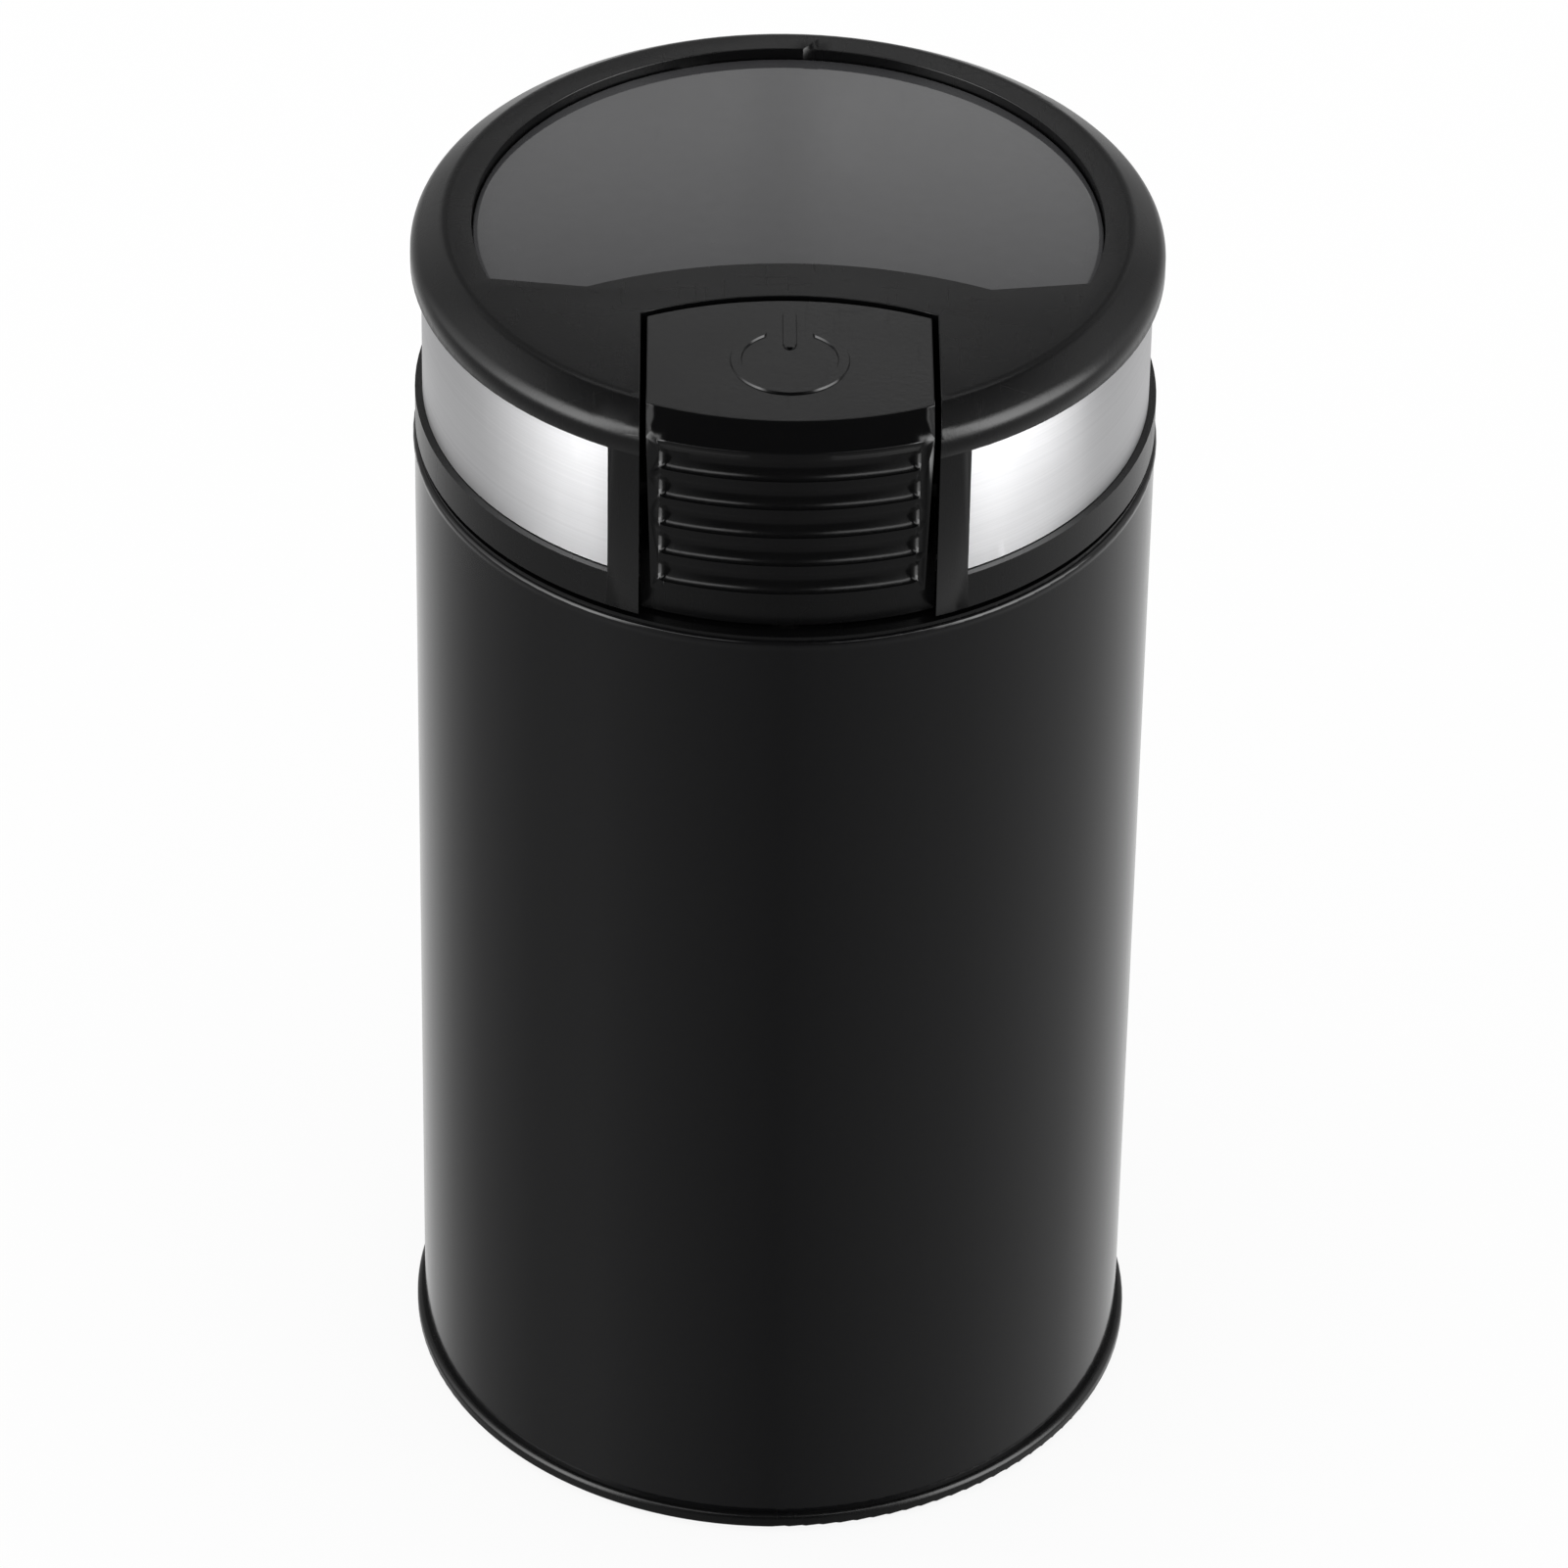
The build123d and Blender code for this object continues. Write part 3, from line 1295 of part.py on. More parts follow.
def switch_pin():
    """The switch's own short plunger, under the lever."""
    lever_under = pin_z + (button_pin_arm - switch_pin_radius) * sin(tilt) - lever_thickness / 2
    top = lever_under - pin_lever_gap
    low = top - pin_length
    points = [(0, low), (switch_pin_radius, low), (switch_pin_radius, top), (0, top)]
    return Pos(switch_pin_x, switch_y, 0) * turned(points, [0, 0, corner, 0])


def cord_gland():
    """Rubber grommet at the cord outlet, with a flange each side of the walls."""
    neck = outlet_bore + outlet_wall
    outer_face = body_radius + gland_gap
    wall_face = sqrt((collar_radius - collar_wall) ** 2 - (neck + outlet_flange) ** 2) - weld_gap
    gland = along_y(neck, 0, outlet_z, wall_face - gland_lip, outer_face + outlet_thickness)
    gland += along_y(neck + outlet_flange, 0, outlet_z, outer_face, outer_face + outlet_thickness)
    inner_lip = neck + outlet_flange - gland_lip_inset
    gland += along_y(inner_lip, 0, outlet_z, wall_face - gland_lip, wall_face)
    return gland - along_y(outlet_bore, 0, outlet_z, 0, 2 * ring_radius)


def cord_clamp():
    """Bar across the cord's way, on two posts of the base."""
    half = clamp_span / 2 + clamp_post_radius
    bar = block(-half, half, clamp_y - clamp_post_radius, clamp_y + clamp_post_radius,
                clamp_bottom, clamp_bottom + clamp_thickness)
    groove_z = clamp_bottom - outlet_bore + clamp_grip
    bar -= along_y(outlet_bore, 0, groove_z, clamp_y - half, clamp_y + half)
    for side in (-1, 1):
        bar -= disc(clamp_screw + screw_gap, clamp_bottom - over, clamp_bottom + clamp_thickness + over,
                    side * clamp_span / 2, clamp_y)
    return bar


def clamp_screws():
    """Two screws that draw the clamp down on its posts."""
    places = [(side * clamp_span / 2, clamp_y) for side in (-1, 1)]
    seat = clamp_bottom + clamp_thickness
    return screw_group(clamp_screw, seat, clamp_bottom - clamp_screw_reach, False, places)


def rounded_block(size, x, y, low, radius):
    """A block with rounded upright edges."""
    plan = RectangleRounded(size[0], size[1], radius)
    return extrude(Pos(x, y, low) * plan, size[2])


def capacitor():
    """Interference capacitor, standing on the base plate."""
    size = (capacitor_width, inset_length, capacitor_height)
    return rounded_block(size, inset_x, inset_y, plate_top, capacitor_round)


def terminal_block():
    """Terminal block with three screw wells, standing on the base plate."""
    size = (terminal_width, inset_length, terminal_height)
    body = rounded_block(size, -inset_x, inset_y, plate_top, terminal_round)
    top = plate_top + terminal_height
    for step in (-1, 0, 1):
        y = inset_y + terminal_pitch * step
        body -= disc(terminal_well, plate_top + terminal_floor, top + over, -inset_x, y)
    return body


PARTS = {
    "body_shell": body_shell,
    "base_cover": base_cover,
    "rubber_feet": rubber_feet,
    "base_screws": base_screws,
    "top_collar": top_collar,
    "grinding_bowl": grinding_bowl,
    "bowl_seal": bowl_seal,
    "chassis": chassis,
    "chassis_screws": chassis_screws,
    "shaft_seal": shaft_seal,
    "stator_core": stator_core,
    "field_coil_right": lambda: field_coil(1),
    "field_coil_left": lambda: field_coil(-1),
    "upper_bracket": upper_bracket,
    "lower_bracket": lower_bracket,
    "upper_bearing": lambda: bearing(bracket_top - bearing_height),
    "lower_bearing": lambda: bearing(lower_top - bearing_height),
    "tie_screws": tie_screws,
    "damper_bushes": damper_bushes,
    "brush_holders": brush_holders,
    "carbon_brushes": carbon_brushes,
    "brush_springs": brush_springs,
    "microswitch": microswitch,
    "switch_terminals": switch_terminals,
    "switch_screws": switch_screws,
    "rod_spring": rod_spring,
    "cord_gland": cord_gland,
    "cord_clamp": cord_clamp,
    "clamp_screws": clamp_screws,
    "capacitor": capacitor,
    "terminal_block": terminal_block,
    "motor_shaft": motor_shaft,
    "rotor_core": rotor_core,
    "rotor_winding": rotor_winding,
    "commutator": commutator,
    "cooling_fan": cooling_fan,
    "blade_carrier": blade_carrier,
    "grinder_blade": grinder_blade,
    "blade_nut": blade_nut,
    "lid_shell": lid_shell,
    "lid_window": lid_window,
    "steel_band": steel_band,
    "lid_liner": lid_liner,
    "lid_gasket": lid_gasket,
    "liner_screws": liner_screws,
    "button_guide": button_guide,
    "button_spring": button_spring,
    "power_button": power_button,
    "button_plunger": button_plunger,
    "push_rod": push_rod,
    "switch_lever": switch_lever,
    "switch_pin": switch_pin,
}

os.makedirs("parts", exist_ok=True)
for node, make in PARTS.items():
    export_step(make(), "parts/" + node + ".step")
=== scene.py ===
import json
from math import cos, pi, radians, sin

import bmesh
import bpy
import numpy as np
from mathutils import Matrix, Vector

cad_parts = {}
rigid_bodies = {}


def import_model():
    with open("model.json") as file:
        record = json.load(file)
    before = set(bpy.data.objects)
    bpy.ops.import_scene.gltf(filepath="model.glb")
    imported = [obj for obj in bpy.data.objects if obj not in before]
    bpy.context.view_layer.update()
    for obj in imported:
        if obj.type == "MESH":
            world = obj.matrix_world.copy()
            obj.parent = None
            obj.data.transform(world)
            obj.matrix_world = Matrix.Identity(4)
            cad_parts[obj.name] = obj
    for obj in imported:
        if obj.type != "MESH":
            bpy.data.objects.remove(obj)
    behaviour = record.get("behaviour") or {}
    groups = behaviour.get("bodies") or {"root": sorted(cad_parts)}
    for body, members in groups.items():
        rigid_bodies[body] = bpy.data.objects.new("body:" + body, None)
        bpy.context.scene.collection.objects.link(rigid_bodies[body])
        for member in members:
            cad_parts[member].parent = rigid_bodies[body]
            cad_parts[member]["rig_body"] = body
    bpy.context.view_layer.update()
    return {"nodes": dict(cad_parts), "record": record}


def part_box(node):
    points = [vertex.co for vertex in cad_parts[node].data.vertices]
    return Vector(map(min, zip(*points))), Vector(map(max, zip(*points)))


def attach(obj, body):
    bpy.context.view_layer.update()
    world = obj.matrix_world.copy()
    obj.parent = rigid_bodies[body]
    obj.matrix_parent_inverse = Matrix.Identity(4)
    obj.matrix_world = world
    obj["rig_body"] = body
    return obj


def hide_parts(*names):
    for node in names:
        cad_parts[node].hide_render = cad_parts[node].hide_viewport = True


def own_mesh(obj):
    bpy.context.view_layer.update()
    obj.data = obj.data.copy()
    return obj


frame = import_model()


# Feet: four pads of black rubber, each moulded in one with a stem that is pulled through a hole in
# the base until its head is past the plate. Their soles are flat, with the fine skin of the mould.
def add(tree, kind, inputs=None, **settings):
    """A node with its settings, and the value or the link of each input."""
    made = tree.nodes.new(kind)
    for key, value in settings.items():
        setattr(made, key, value)
    for key, value in (inputs or {}).items():
        if isinstance(value, bpy.types.NodeSocket):
            tree.links.new(value, made.inputs[key])
        else:
            made.inputs[key].default_value = value
    return made


def maths(tree, operation, first, second=0.0, third=0.0):
    """One step of arithmetic."""
    inputs = {0: first, 1: second, 2: third}
    return add(tree, "ShaderNodeMath", inputs, operation=operation).outputs[0]


def new_group(name, inputs, outputs):
    """An empty node group: its inputs are numbers, and an output called Normal is a vector."""
    group = bpy.data.node_groups.new(name, "ShaderNodeTree")
    for label, value in inputs.items():
        socket = group.interface.new_socket(label, in_out="INPUT", socket_type="NodeSocketFloat")
        socket.default_value = value
    for label in outputs:
        kind = "NodeSocketVector" if label == "Normal" else "NodeSocketFloat"
        group.interface.new_socket(label, in_out="OUTPUT", socket_type=kind)
    return group, group.nodes.new("NodeGroupInput"), group.nodes.new("NodeGroupOutput")


def object_point(tree):
    """Where the shaded point is on the object, in metres."""
    return tree.nodes.new("ShaderNodeTexCoord").outputs["Object"]


def given_out(group, given, result, value, relief):
    """What a pattern puts out: its value, and bumps as high as the value times the relief."""
    bump = add(group, "ShaderNodeBump", {"Strength": given.outputs["Depth"], "Distance": relief,
                                         "Height": value})
    group.links.new(value, result.inputs["Value"])
    group.links.new(bump.outputs["Normal"], result.inputs["Normal"])
    return group


def surface_grain():
    """Fine unevenness of a sprayed or moulded skin: noise of a given size."""
    group, given, result = new_group("surface_grain", {"Size": 0.001, "Depth": 0.1},
                                     ["Value", "Normal"])
    scale = maths(group, "DIVIDE", 1.0, given.outputs["Size"])
    noise = add(group, "ShaderNodeTexNoise", {"Vector": object_point(group), "Scale": scale,
                                              "Detail": 3.0, "Roughness": 0.55})
    return given_out(group, given, result, noise.outputs["Fac"], relief=0.0002)


def handling_marks():
    """Broad faint patches, and hair lines in two directions, as left by hands and cloths.

    The hair lines are the crests of a noise that is drawn out one way and turned on the surface.
    """
    group, given, result = new_group("handling_marks", {"Patch": 0.02, "Lines": 0.5}, ["Value"])
    point = object_point(group)
    scale = maths(group, "DIVIDE", 1.0, given.outputs["Patch"])
    patch = add(group, "ShaderNodeTexNoise", {"Vector": point, "Scale": scale, "Detail": 4.0})
    total = patch.outputs["Fac"]
    lean = 0.3
    for turn, crowding in ((0.6, (90.0, 2200.0, 90.0)), (2.1, (2200.0, 140.0, 140.0))):
        laid = add(group, "ShaderNodeMapping", {"Vector": point, "Rotation": (turn, lean, turn),
                                                "Scale": crowding})
        fine = add(group, "ShaderNodeTexNoise", {"Vector": laid.outputs[0], "Scale": 1.0,
                                                 "Detail": 2.0})
        line = add(group, "ShaderNodeMapRange", {"Value": fine.outputs["Fac"], "From Min": 0.66,
                                                 "From Max": 0.74})
        part = maths(group, "MULTIPLY", line.outputs[0], given.outputs["Lines"])
        total = maths(group, "ADD", total, part)
    group.links.new(total, result.inputs["Value"])
    return group


GRAIN = surface_grain()
MARKS = handling_marks()
first_colour, second_colour, mixed_colour = 6, 7, 2  # the sockets of a Mix node that mixes colours


def finish(name, colour, roughness, metallic=0.0, gloss=0.5, pattern=GRAIN, spread=0.05, tint=0.1,
           **numbers):
    """A finish whose colour follows a pattern, and whose roughness follows the marks of handling.

    The colour runs from 1 - tint to 1 + tint times the one given, and the roughness from spread
    below to spread above its own. The numbers are the pattern's.
    """
    made = bpy.data.materials.new(name)
    made.use_nodes = True
    tree = made.node_tree
    skin = tree.nodes["Principled BSDF"]
    skin.inputs["Metallic"].default_value = metallic
    skin.inputs["Specular IOR Level"].default_value = gloss
    texture = add(tree, "ShaderNodeGroup", numbers, node_tree=pattern)
    marks = add(tree, "ShaderNodeGroup", node_tree=MARKS)
    rough = add(tree, "ShaderNodeMapRange", {"Value": marks.outputs["Value"], "From Min": 0.3,
                                             "From Max": 0.8, "To Min": roughness - spread,
                                             "To Max": roughness + spread})
    darker = [channel * (1 - tint) for channel in colour]
    lighter = [channel * (1 + tint) for channel in colour]
    shade = add(tree, "ShaderNodeMix", {0: texture.outputs["Value"], first_colour: (*darker, 1.0),
                                        second_colour: (*lighter, 1.0)}, data_type="RGBA")
    tree.links.new(shade.outputs[mixed_colour], skin.inputs["Base Color"])
    tree.links.new(rough.outputs[0], skin.inputs["Roughness"])
    tree.links.new(texture.outputs["Normal"], skin.inputs["Normal"])
    return made


def quads(points, first, wrap_rows, wrap_columns):
    """The faces of a grid of points, as rows of four corner numbers, counted from the first."""
    number = first + np.arange(points.shape[0] * points.shape[1]).reshape(points.shape[:2])
    if wrap_rows:
        number = np.concatenate([number, number[:1]], axis=0)
    if wrap_columns:
        number = np.concatenate([number, number[:, :1]], axis=1)
    corners = (number[:-1, :-1], number[:-1, 1:], number[1:, 1:], number[1:, :-1])
    return np.stack(corners, axis=-1).reshape(-1, 4)


seam_reach = 2e-6


def dressed(name, mesh, material, body, nodes, slot, sharp=30):
    """A finished piece: its seams are closed and it is smooth up to the sharp angle, in degrees.

    It rides on a body and stands for CAD nodes.
    """
    shape = bmesh.new()
    shape.from_mesh(mesh)
    bmesh.ops.remove_doubles(shape, verts=shape.verts, dist=seam_reach)
    bmesh.ops.recalc_face_normals(shape, faces=shape.faces)
    shape.to_mesh(mesh)
    shape.free()
    mesh.shade_smooth()
    mesh.set_sharp_from_angle(angle=radians(sharp))
    mesh.materials.clear()
    mesh.materials.append(material)
    piece = bpy.data.objects.new(name, mesh)
    bpy.context.scene.collection.objects.link(piece)
    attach(piece, body)
    if nodes:
        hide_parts(*nodes)
    return piece


def woven(name, grids, **rest):
    """A piece from several grids of points; each is (points, wrap_rows, wrap_columns)."""
    places, faces, first = [], [], 0
    for points, wrap_rows, wrap_columns in grids:
        places.append(points.reshape(-1, 3))
        faces.append(quads(points, first, wrap_rows, wrap_columns))
        first += points.shape[0] * points.shape[1]
    mesh = bpy.data.meshes.new(name)
    mesh.from_pydata(np.concatenate(places), [], np.concatenate(faces).tolist())
    return dressed(name, mesh, **rest)


def rounded(corners, rounds, steps=6):
    """A closed outline whose corners are arcs that touch both sides; a round of 0 keeps a corner.

    Each arc's centre lies on the corner's bisector, at round / sin(half the corner's angle). Its
    points are the sums of its two end radii, weighted by the sines of the turn left and the turn
    done, over the sine of the whole turn.
    """
    corners = np.asarray(corners, float)
    rounds = np.asarray(rounds, float)[:, None]
    back = np.roll(corners, 1, axis=0) - corners
    on = np.roll(corners, -1, axis=0) - corners
    back /= np.linalg.norm(back, axis=1, keepdims=True)
    on /= np.linalg.norm(on, axis=1, keepdims=True)
    half = np.arccos((back * on).sum(axis=1, keepdims=True)) / 2
    bisector = back + on
    bisector /= np.linalg.norm(bisector, axis=1, keepdims=True)
    centre = corners + bisector * rounds / np.sin(half)
    start = (corners + back * rounds / np.tan(half) - centre)[:, None]
    stop = (corners + on * rounds / np.tan(half) - centre)[:, None]
    sweep = pi - 2 * half
    done = np.linspace(0, 1, steps)
    from_start = (np.sin((1 - done) * sweep) / np.sin(sweep))[..., None]
    from_stop = (np.sin(done * sweep) / np.sin(sweep))[..., None]
    arcs = centre[:, None] + from_start * start + from_stop * stop
    return arcs.reshape(-1, 2)


def turned(outline, turns, middle=(0.0, 0.0)):
    """An outline of (radius, height) turned about an upright axis that stands at the middle.

    A turn t is measured from the front: x is the radius times sin t, and y is minus the radius
    times cos t.
    """
    radius, height = outline[:, :1], outline[:, 1:]
    x = middle[0] + radius * np.sin(turns)
    y = middle[1] - radius * np.cos(turns)
    return np.stack([x, y, height + 0 * turns], axis=-1)


rubber = finish("rubber", (0.012, 0.012, 0.012), 0.75, gloss=0.3, Size=0.0003, Depth=0.35)
foot_radius = 0.006
foot_round = 0.0008
foot_upper_round = 0.0004
stem_radius = 0.002
plate_under = 0.0026
foot_sides = 48
feet_low, feet_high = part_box("rubber_feet")
foot_circle = feet_high[0] - foot_radius
foot_outline = rounded(
    [(0, feet_low[2]), (foot_radius, feet_low[2]), (foot_radius, plate_under),
     (stem_radius, plate_under), (stem_radius, feet_high[2]), (0, feet_high[2])],
    [0, foot_round, foot_upper_round, 0, foot_upper_round, 0],
)
foot_turns = np.linspace(0, 2 * pi, foot_sides, endpoint=False)
foot_places = [(foot_circle, 0), (0, foot_circle), (-foot_circle, 0), (0, -foot_circle)]
feet = [(turned(foot_outline, foot_turns, place), False, True) for place in foot_places]
woven("feet", feet, material=rubber, body="housing", nodes=["rubber_feet"], slot="rubber")

# Base: a cover moulded from black plastic in one piece, with the ring that the body stands on, a
# spigot inside the body, four screw posts and a round of vents. Four screws hold it from below.
slot_of = {part["node"]: part["material_slot"] for part in frame["record"]["subparts"]}
weld_reach = 1e-6
flat_turn = radians(0.1)
near_arc = 0.00002


def welded(node, material):
    """Stands for a CAD node: triangles welded, flat stretches joined, faces evenly shaded."""
    source = frame["nodes"][node]
    shape = bmesh.new()
    shape.from_mesh(source.data)
    bmesh.ops.remove_doubles(shape, verts=shape.verts, dist=weld_reach)
    bmesh.ops.dissolve_limit(shape, angle_limit=flat_turn, verts=shape.verts, edges=shape.edges)
    name = node + "_piece"
    mesh = bpy.data.meshes.new(name)
    shape.to_mesh(mesh)
    shape.free()
    piece = dressed(name, mesh, material, source["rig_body"], [node], slot_of[node])
    even = piece.modifiers.new("even_shading", "WEIGHTED_NORMAL")
    even.keep_sharp = True
    return piece


def values(items, key, width=1, kind=float):
    """One property of all items, such as their places, in rows of that width."""
    taken = np.empty(width * len(items), kind)
    items.foreach_get(key, taken)
    return taken.reshape(-1, width) if width > 1 else taken


def even_rounds(piece, rounds):
    """True normals on turned rounds: each points straight away from the centre of the round's arc.

    A round is the radius and the height of its arc's centre, its own radius, and 1 when it looks up
    or -1 when it looks down. All other normals are those of the even shading.
    """
    mesh = piece.data
    places = values(mesh.vertices, "co", 3)
    corners = values(mesh.loops, "vertex_index", kind=int)
    shown = piece.evaluated_get(bpy.context.evaluated_depsgraph_get()).data
    normals = values(shown.corner_normals, "vector", 3)
    x, y, z = places[corners].T
    away = np.maximum(np.hypot(x, y), near_arc)
    for centre_radius, centre_height, arc_radius, side in rounds:
        out, up = away - centre_radius, z - centre_height
        touched = (out > -near_arc) & (up * side > -near_arc)
        touched &= np.abs(np.hypot(out, up) - arc_radius) < near_arc
        arc_normals = np.stack([out * x / away, out * y / away, up], axis=-1) / arc_radius
        normals = np.where(touched[:, None], arc_normals, normals)
    piece.modifiers.clear()
    mesh.normals_split_custom_set(normals.tolist())


satin = finish("satin_moulding", (0.0024, 0.0024, 0.0026), 0.27, spread=0.03, Size=0.0004,
               Depth=0.06)
plated = finish("plated_steel", (0.56, 0.57, 0.60), 0.34, metallic=1.0, tint=0.12, Size=0.0007,
                Depth=0.1)
ring_upper_round = (0.04745, 0.0020, 0.0008, 1)
ring_lower_round = (0.04785, 0.0012, 0.0004, -1)
base = welded("base_cover", satin)
even_rounds(base, [ring_upper_round, ring_lower_round])
welded("base_screws", plated)

# In the base: the cord's grommet and its clamp at the rear, the terminal block, and the capacitor
# in its cast case. Each is set down on the base plate, and two screws draw the clamp down.
switch_black = finish("switch_plastic", (0.05, 0.05, 0.055), 0.5, Size=0.0004, Depth=0.25)
capacitor_case = finish("capacitor_case", (0.62, 0.40, 0.06), 0.35, Size=0.001, Depth=0.1)
welded("cord_gland", rubber)
welded("cord_clamp", switch_black)
welded("clamp_screws", plated)
welded("terminal_block", switch_black)
welded("capacitor", capacitor_case)

# Body tube: rolled from 0.6 mm steel sheet, with a bead curled round its upper edge, and stove
# enamelled in gloss black. It is pressed over the base's spigot, with a hole for the grommet.
enamel = finish("gloss_enamel", (0.0042, 0.0042, 0.0046), 0.12, spread=0.03, Size=0.0012,
                Depth=0.012)
bead = (0.0468, 0.1452, 0.0006, 1)
tube = welded("body_shell", enamel)
even_rounds(tube, [bead])

# Chassis: a black moulding under the bowl that carries the motor, screwed to the collar's legs and
# to the base's posts, with a lip seal in its hub.
welded("chassis", satin)
welded("chassis_screws", plated)
welded("shaft_seal", rubber)


# Stator: stacked steel sheets with two poles, a coil of lacquered copper wire round each, and two
# pressed brackets drawn together by four long screws that hang in rubber bushes.
def even_layers():
    """Even lines across the axis, as on stacked sheets and wound wire: a cosine of the height."""
    group, given, result = new_group("even_layers", {"Pitch": 0.0005, "Depth": 0.4},
                                     ["Value", "Normal"])
    parts = add(group, "ShaderNodeSeparateXYZ", {0: object_point(group)})
    up = maths(group, "DIVIDE", parts.outputs[2], given.outputs["Pitch"])
    crest = maths(group, "COSINE", maths(group, "MULTIPLY", up, 2 * pi))
    value = add(group, "ShaderNodeMapRange", {"Value": crest, "From Min": -1.0})
    return given_out(group, given, result, value.outputs[0], relief=0.0002)


LAYERS = even_layers()
sheets = finish("stacked_sheets", (0.24, 0.24, 0.25), 0.45, metallic=1.0, pattern=LAYERS, tint=0.3,
                Pitch=0.0005, Depth=0.5)
copper = finish("wound_copper", (0.62, 0.25, 0.10), 0.3, metallic=1.0, pattern=LAYERS, tint=0.35,
                Pitch=0.0006, Depth=0.8)
bronze = finish("bronze", (0.65, 0.44, 0.20), 0.36, metallic=1.0, tint=0.15, Size=0.0005, Depth=0.2)
welded("stator_core", sheets)
welded("field_coil_left", copper)
welded("field_coil_right", copper)
welded("upper_bracket", plated)
welded("lower_bracket", plated)
welded("upper_bearing", bronze)
welded("lower_bearing", bronze)
welded("tie_screws", plated)
welded("damper_bushes", rubber)

# Brush gear: a carbon block at each side in a brass tube, pressed on the commutator by a small
# coil spring behind it.
carbon = finish("carbon", (0.035, 0.035, 0.036), 0.55, Size=0.0003, Depth=0.3)
welded("brush_holders", bronze)
welded("carbon_brushes", carbon)
welded("brush_springs", plated)


# Rotor: a ground steel shaft with the stacked core, its copper winding and the commutator pressed
# on it, and a moulded fan above them.
def brushed_lines():
    """Hair lines that run round the axis: noise squeezed along Z and along the radius.

    The noise is read at (radius / pitch, height / pitch, turn), once as it is and once four times
    as broad, and the two are averaged.
    """
    group, given, result = new_group("brushed_lines", {"Pitch": 0.0002, "Depth": 0.1},
                                     ["Value", "Normal"])
    parts = add(group, "ShaderNodeSeparateXYZ", {0: object_point(group)})
    flat = add(group, "ShaderNodeCombineXYZ", {0: parts.outputs[0], 1: parts.outputs[1]})
    away = add(group, "ShaderNodeVectorMath", {0: flat.outputs[0]}, operation="LENGTH")
    turn = maths(group, "ARCTAN2", parts.outputs[1], parts.outputs[0])
    across = maths(group, "DIVIDE", away.outputs["Value"], given.outputs["Pitch"])
    up = maths(group, "DIVIDE", parts.outputs[2], given.outputs["Pitch"])
    laid = add(group, "ShaderNodeCombineXYZ", {0: across, 1: up, 2: turn})
    fine, broad = [
        add(group, "ShaderNodeTexNoise", {"Vector": laid.outputs[0], "Scale": scale, "Detail": 2.0,
                                          "Roughness": 0.7}).outputs["Fac"]
        for scale in (1.0, 0.25)
    ]
    average = maths(group, "MULTIPLY", maths(group, "ADD", fine, broad), 0.5)
    return given_out(group, given, result, average, relief=0.0001)


BRUSHING = brushed_lines()
ground = finish("ground_steel", (0.62, 0.62, 0.64), 0.2, metallic=1.0, pattern=BRUSHING,
                Pitch=0.00006, Depth=0.15)
fan_grey = finish("fan_plastic", (0.08, 0.08, 0.085), 0.45, Size=0.0005, Depth=0.2)
welded("motor_shaft", ground)
welded("rotor_core", sheets)
welded("rotor_winding", copper)
welded("commutator", copper)
welded("cooling_fan", fan_grey)

# Collar: a black moulding pushed into the body's upper end. It holds the bowl by its flange, with
# a rubber ring under it, and centres the lid.
welded("top_collar", satin)
welded("bowl_seal", rubber)

# Bowl and blade: deep drawn stainless steel, brushed round its axis. The blade is stamped from
# sheet, twisted and ground at its edges, and a domed nut clamps it down on its carrier.
steel = finish("brushed_steel", (0.62, 0.62, 0.63), 0.3, metallic=1.0, pattern=BRUSHING, tint=0.15,
               Pitch=0.00012, Depth=0.3)
welded("grinding_bowl", steel)
welded("blade_carrier", fan_grey)
welded("grinder_blade", steel)
welded("blade_nut", steel)

# Switch gear: a small switch with a sprung lever on the chassis wall, and a white acetal rod that
# a coil spring keeps up under the lid's plunger.
acetal = finish("acetal", (0.72, 0.71, 0.66), 0.42, Size=0.0008, Depth=0.1)


def shortened(node):
    """A coil spring, welded as the other pieces are, with a mesh of its own."""
    spring = welded(node, plated)
    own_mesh(spring)


welded("microswitch", switch_black)
welded("switch_terminals", bronze)
welded("switch_screws", plated)
welded("switch_lever", plated)
welded("switch_pin", acetal)
welded("push_rod", acetal)
shortened("rod_spring")

# Lid shell: black plastic moulded in one, with a bevelled rim, two pillars beside the button's well
# and a flange. Its top is satin from the mould, and its sharp edges above the rim's foot are
# slightly rounded.
edge_steps = 3
lid_edge_round = 0.00013
rim_foot = 0.1739


def round_edges(piece, width, above):
    """A bevel of that width, in place of the even shading, on the sharp edges above a height.

    It follows the edges' own weights: one where an edge is sharp and both of its ends lie above
    the height, and nought elsewhere.
    """
    mesh = piece.data
    heights = values(mesh.vertices, "co", 3)[:, 2]
    ends = values(mesh.edges, "vertices", 2, int)
    keen = values(mesh.attributes["sharp_edge"].data, "value", kind=bool)
    chosen = (keen & (heights[ends].min(axis=1) > above)).astype(np.float32)
    weights = mesh.attributes.new("bevel_weight_edge", "FLOAT", "EDGE")
    weights.data.foreach_set("value", chosen)
    piece.modifiers.clear()
    rounding = piece.modifiers.new("rounded_edges", "BEVEL")
    rounding.width = width
    rounding.segments = edge_steps
    rounding.limit_method = "WEIGHT"
    rounding.harden_normals = True
    rounding.use_clamp_overlap = False


shell = welded("lid_shell", satin)
round_edges(shell, lid_edge_round, rim_foot)


# Band: a strip of stainless steel, brushed along its length and bent to a C, that lies in a groove
# of the lid and ends at the two pillars.
def capped(grid):
    """The same tube with closed ends: one more column at each end lies at that end's middle."""
    middles = np.broadcast_to(grid[:, [0, -1]].mean(axis=0), (grid.shape[0], 2, 3))
    return np.concatenate([middles[:, :1], grid, middles[:, 1:]], axis=1)


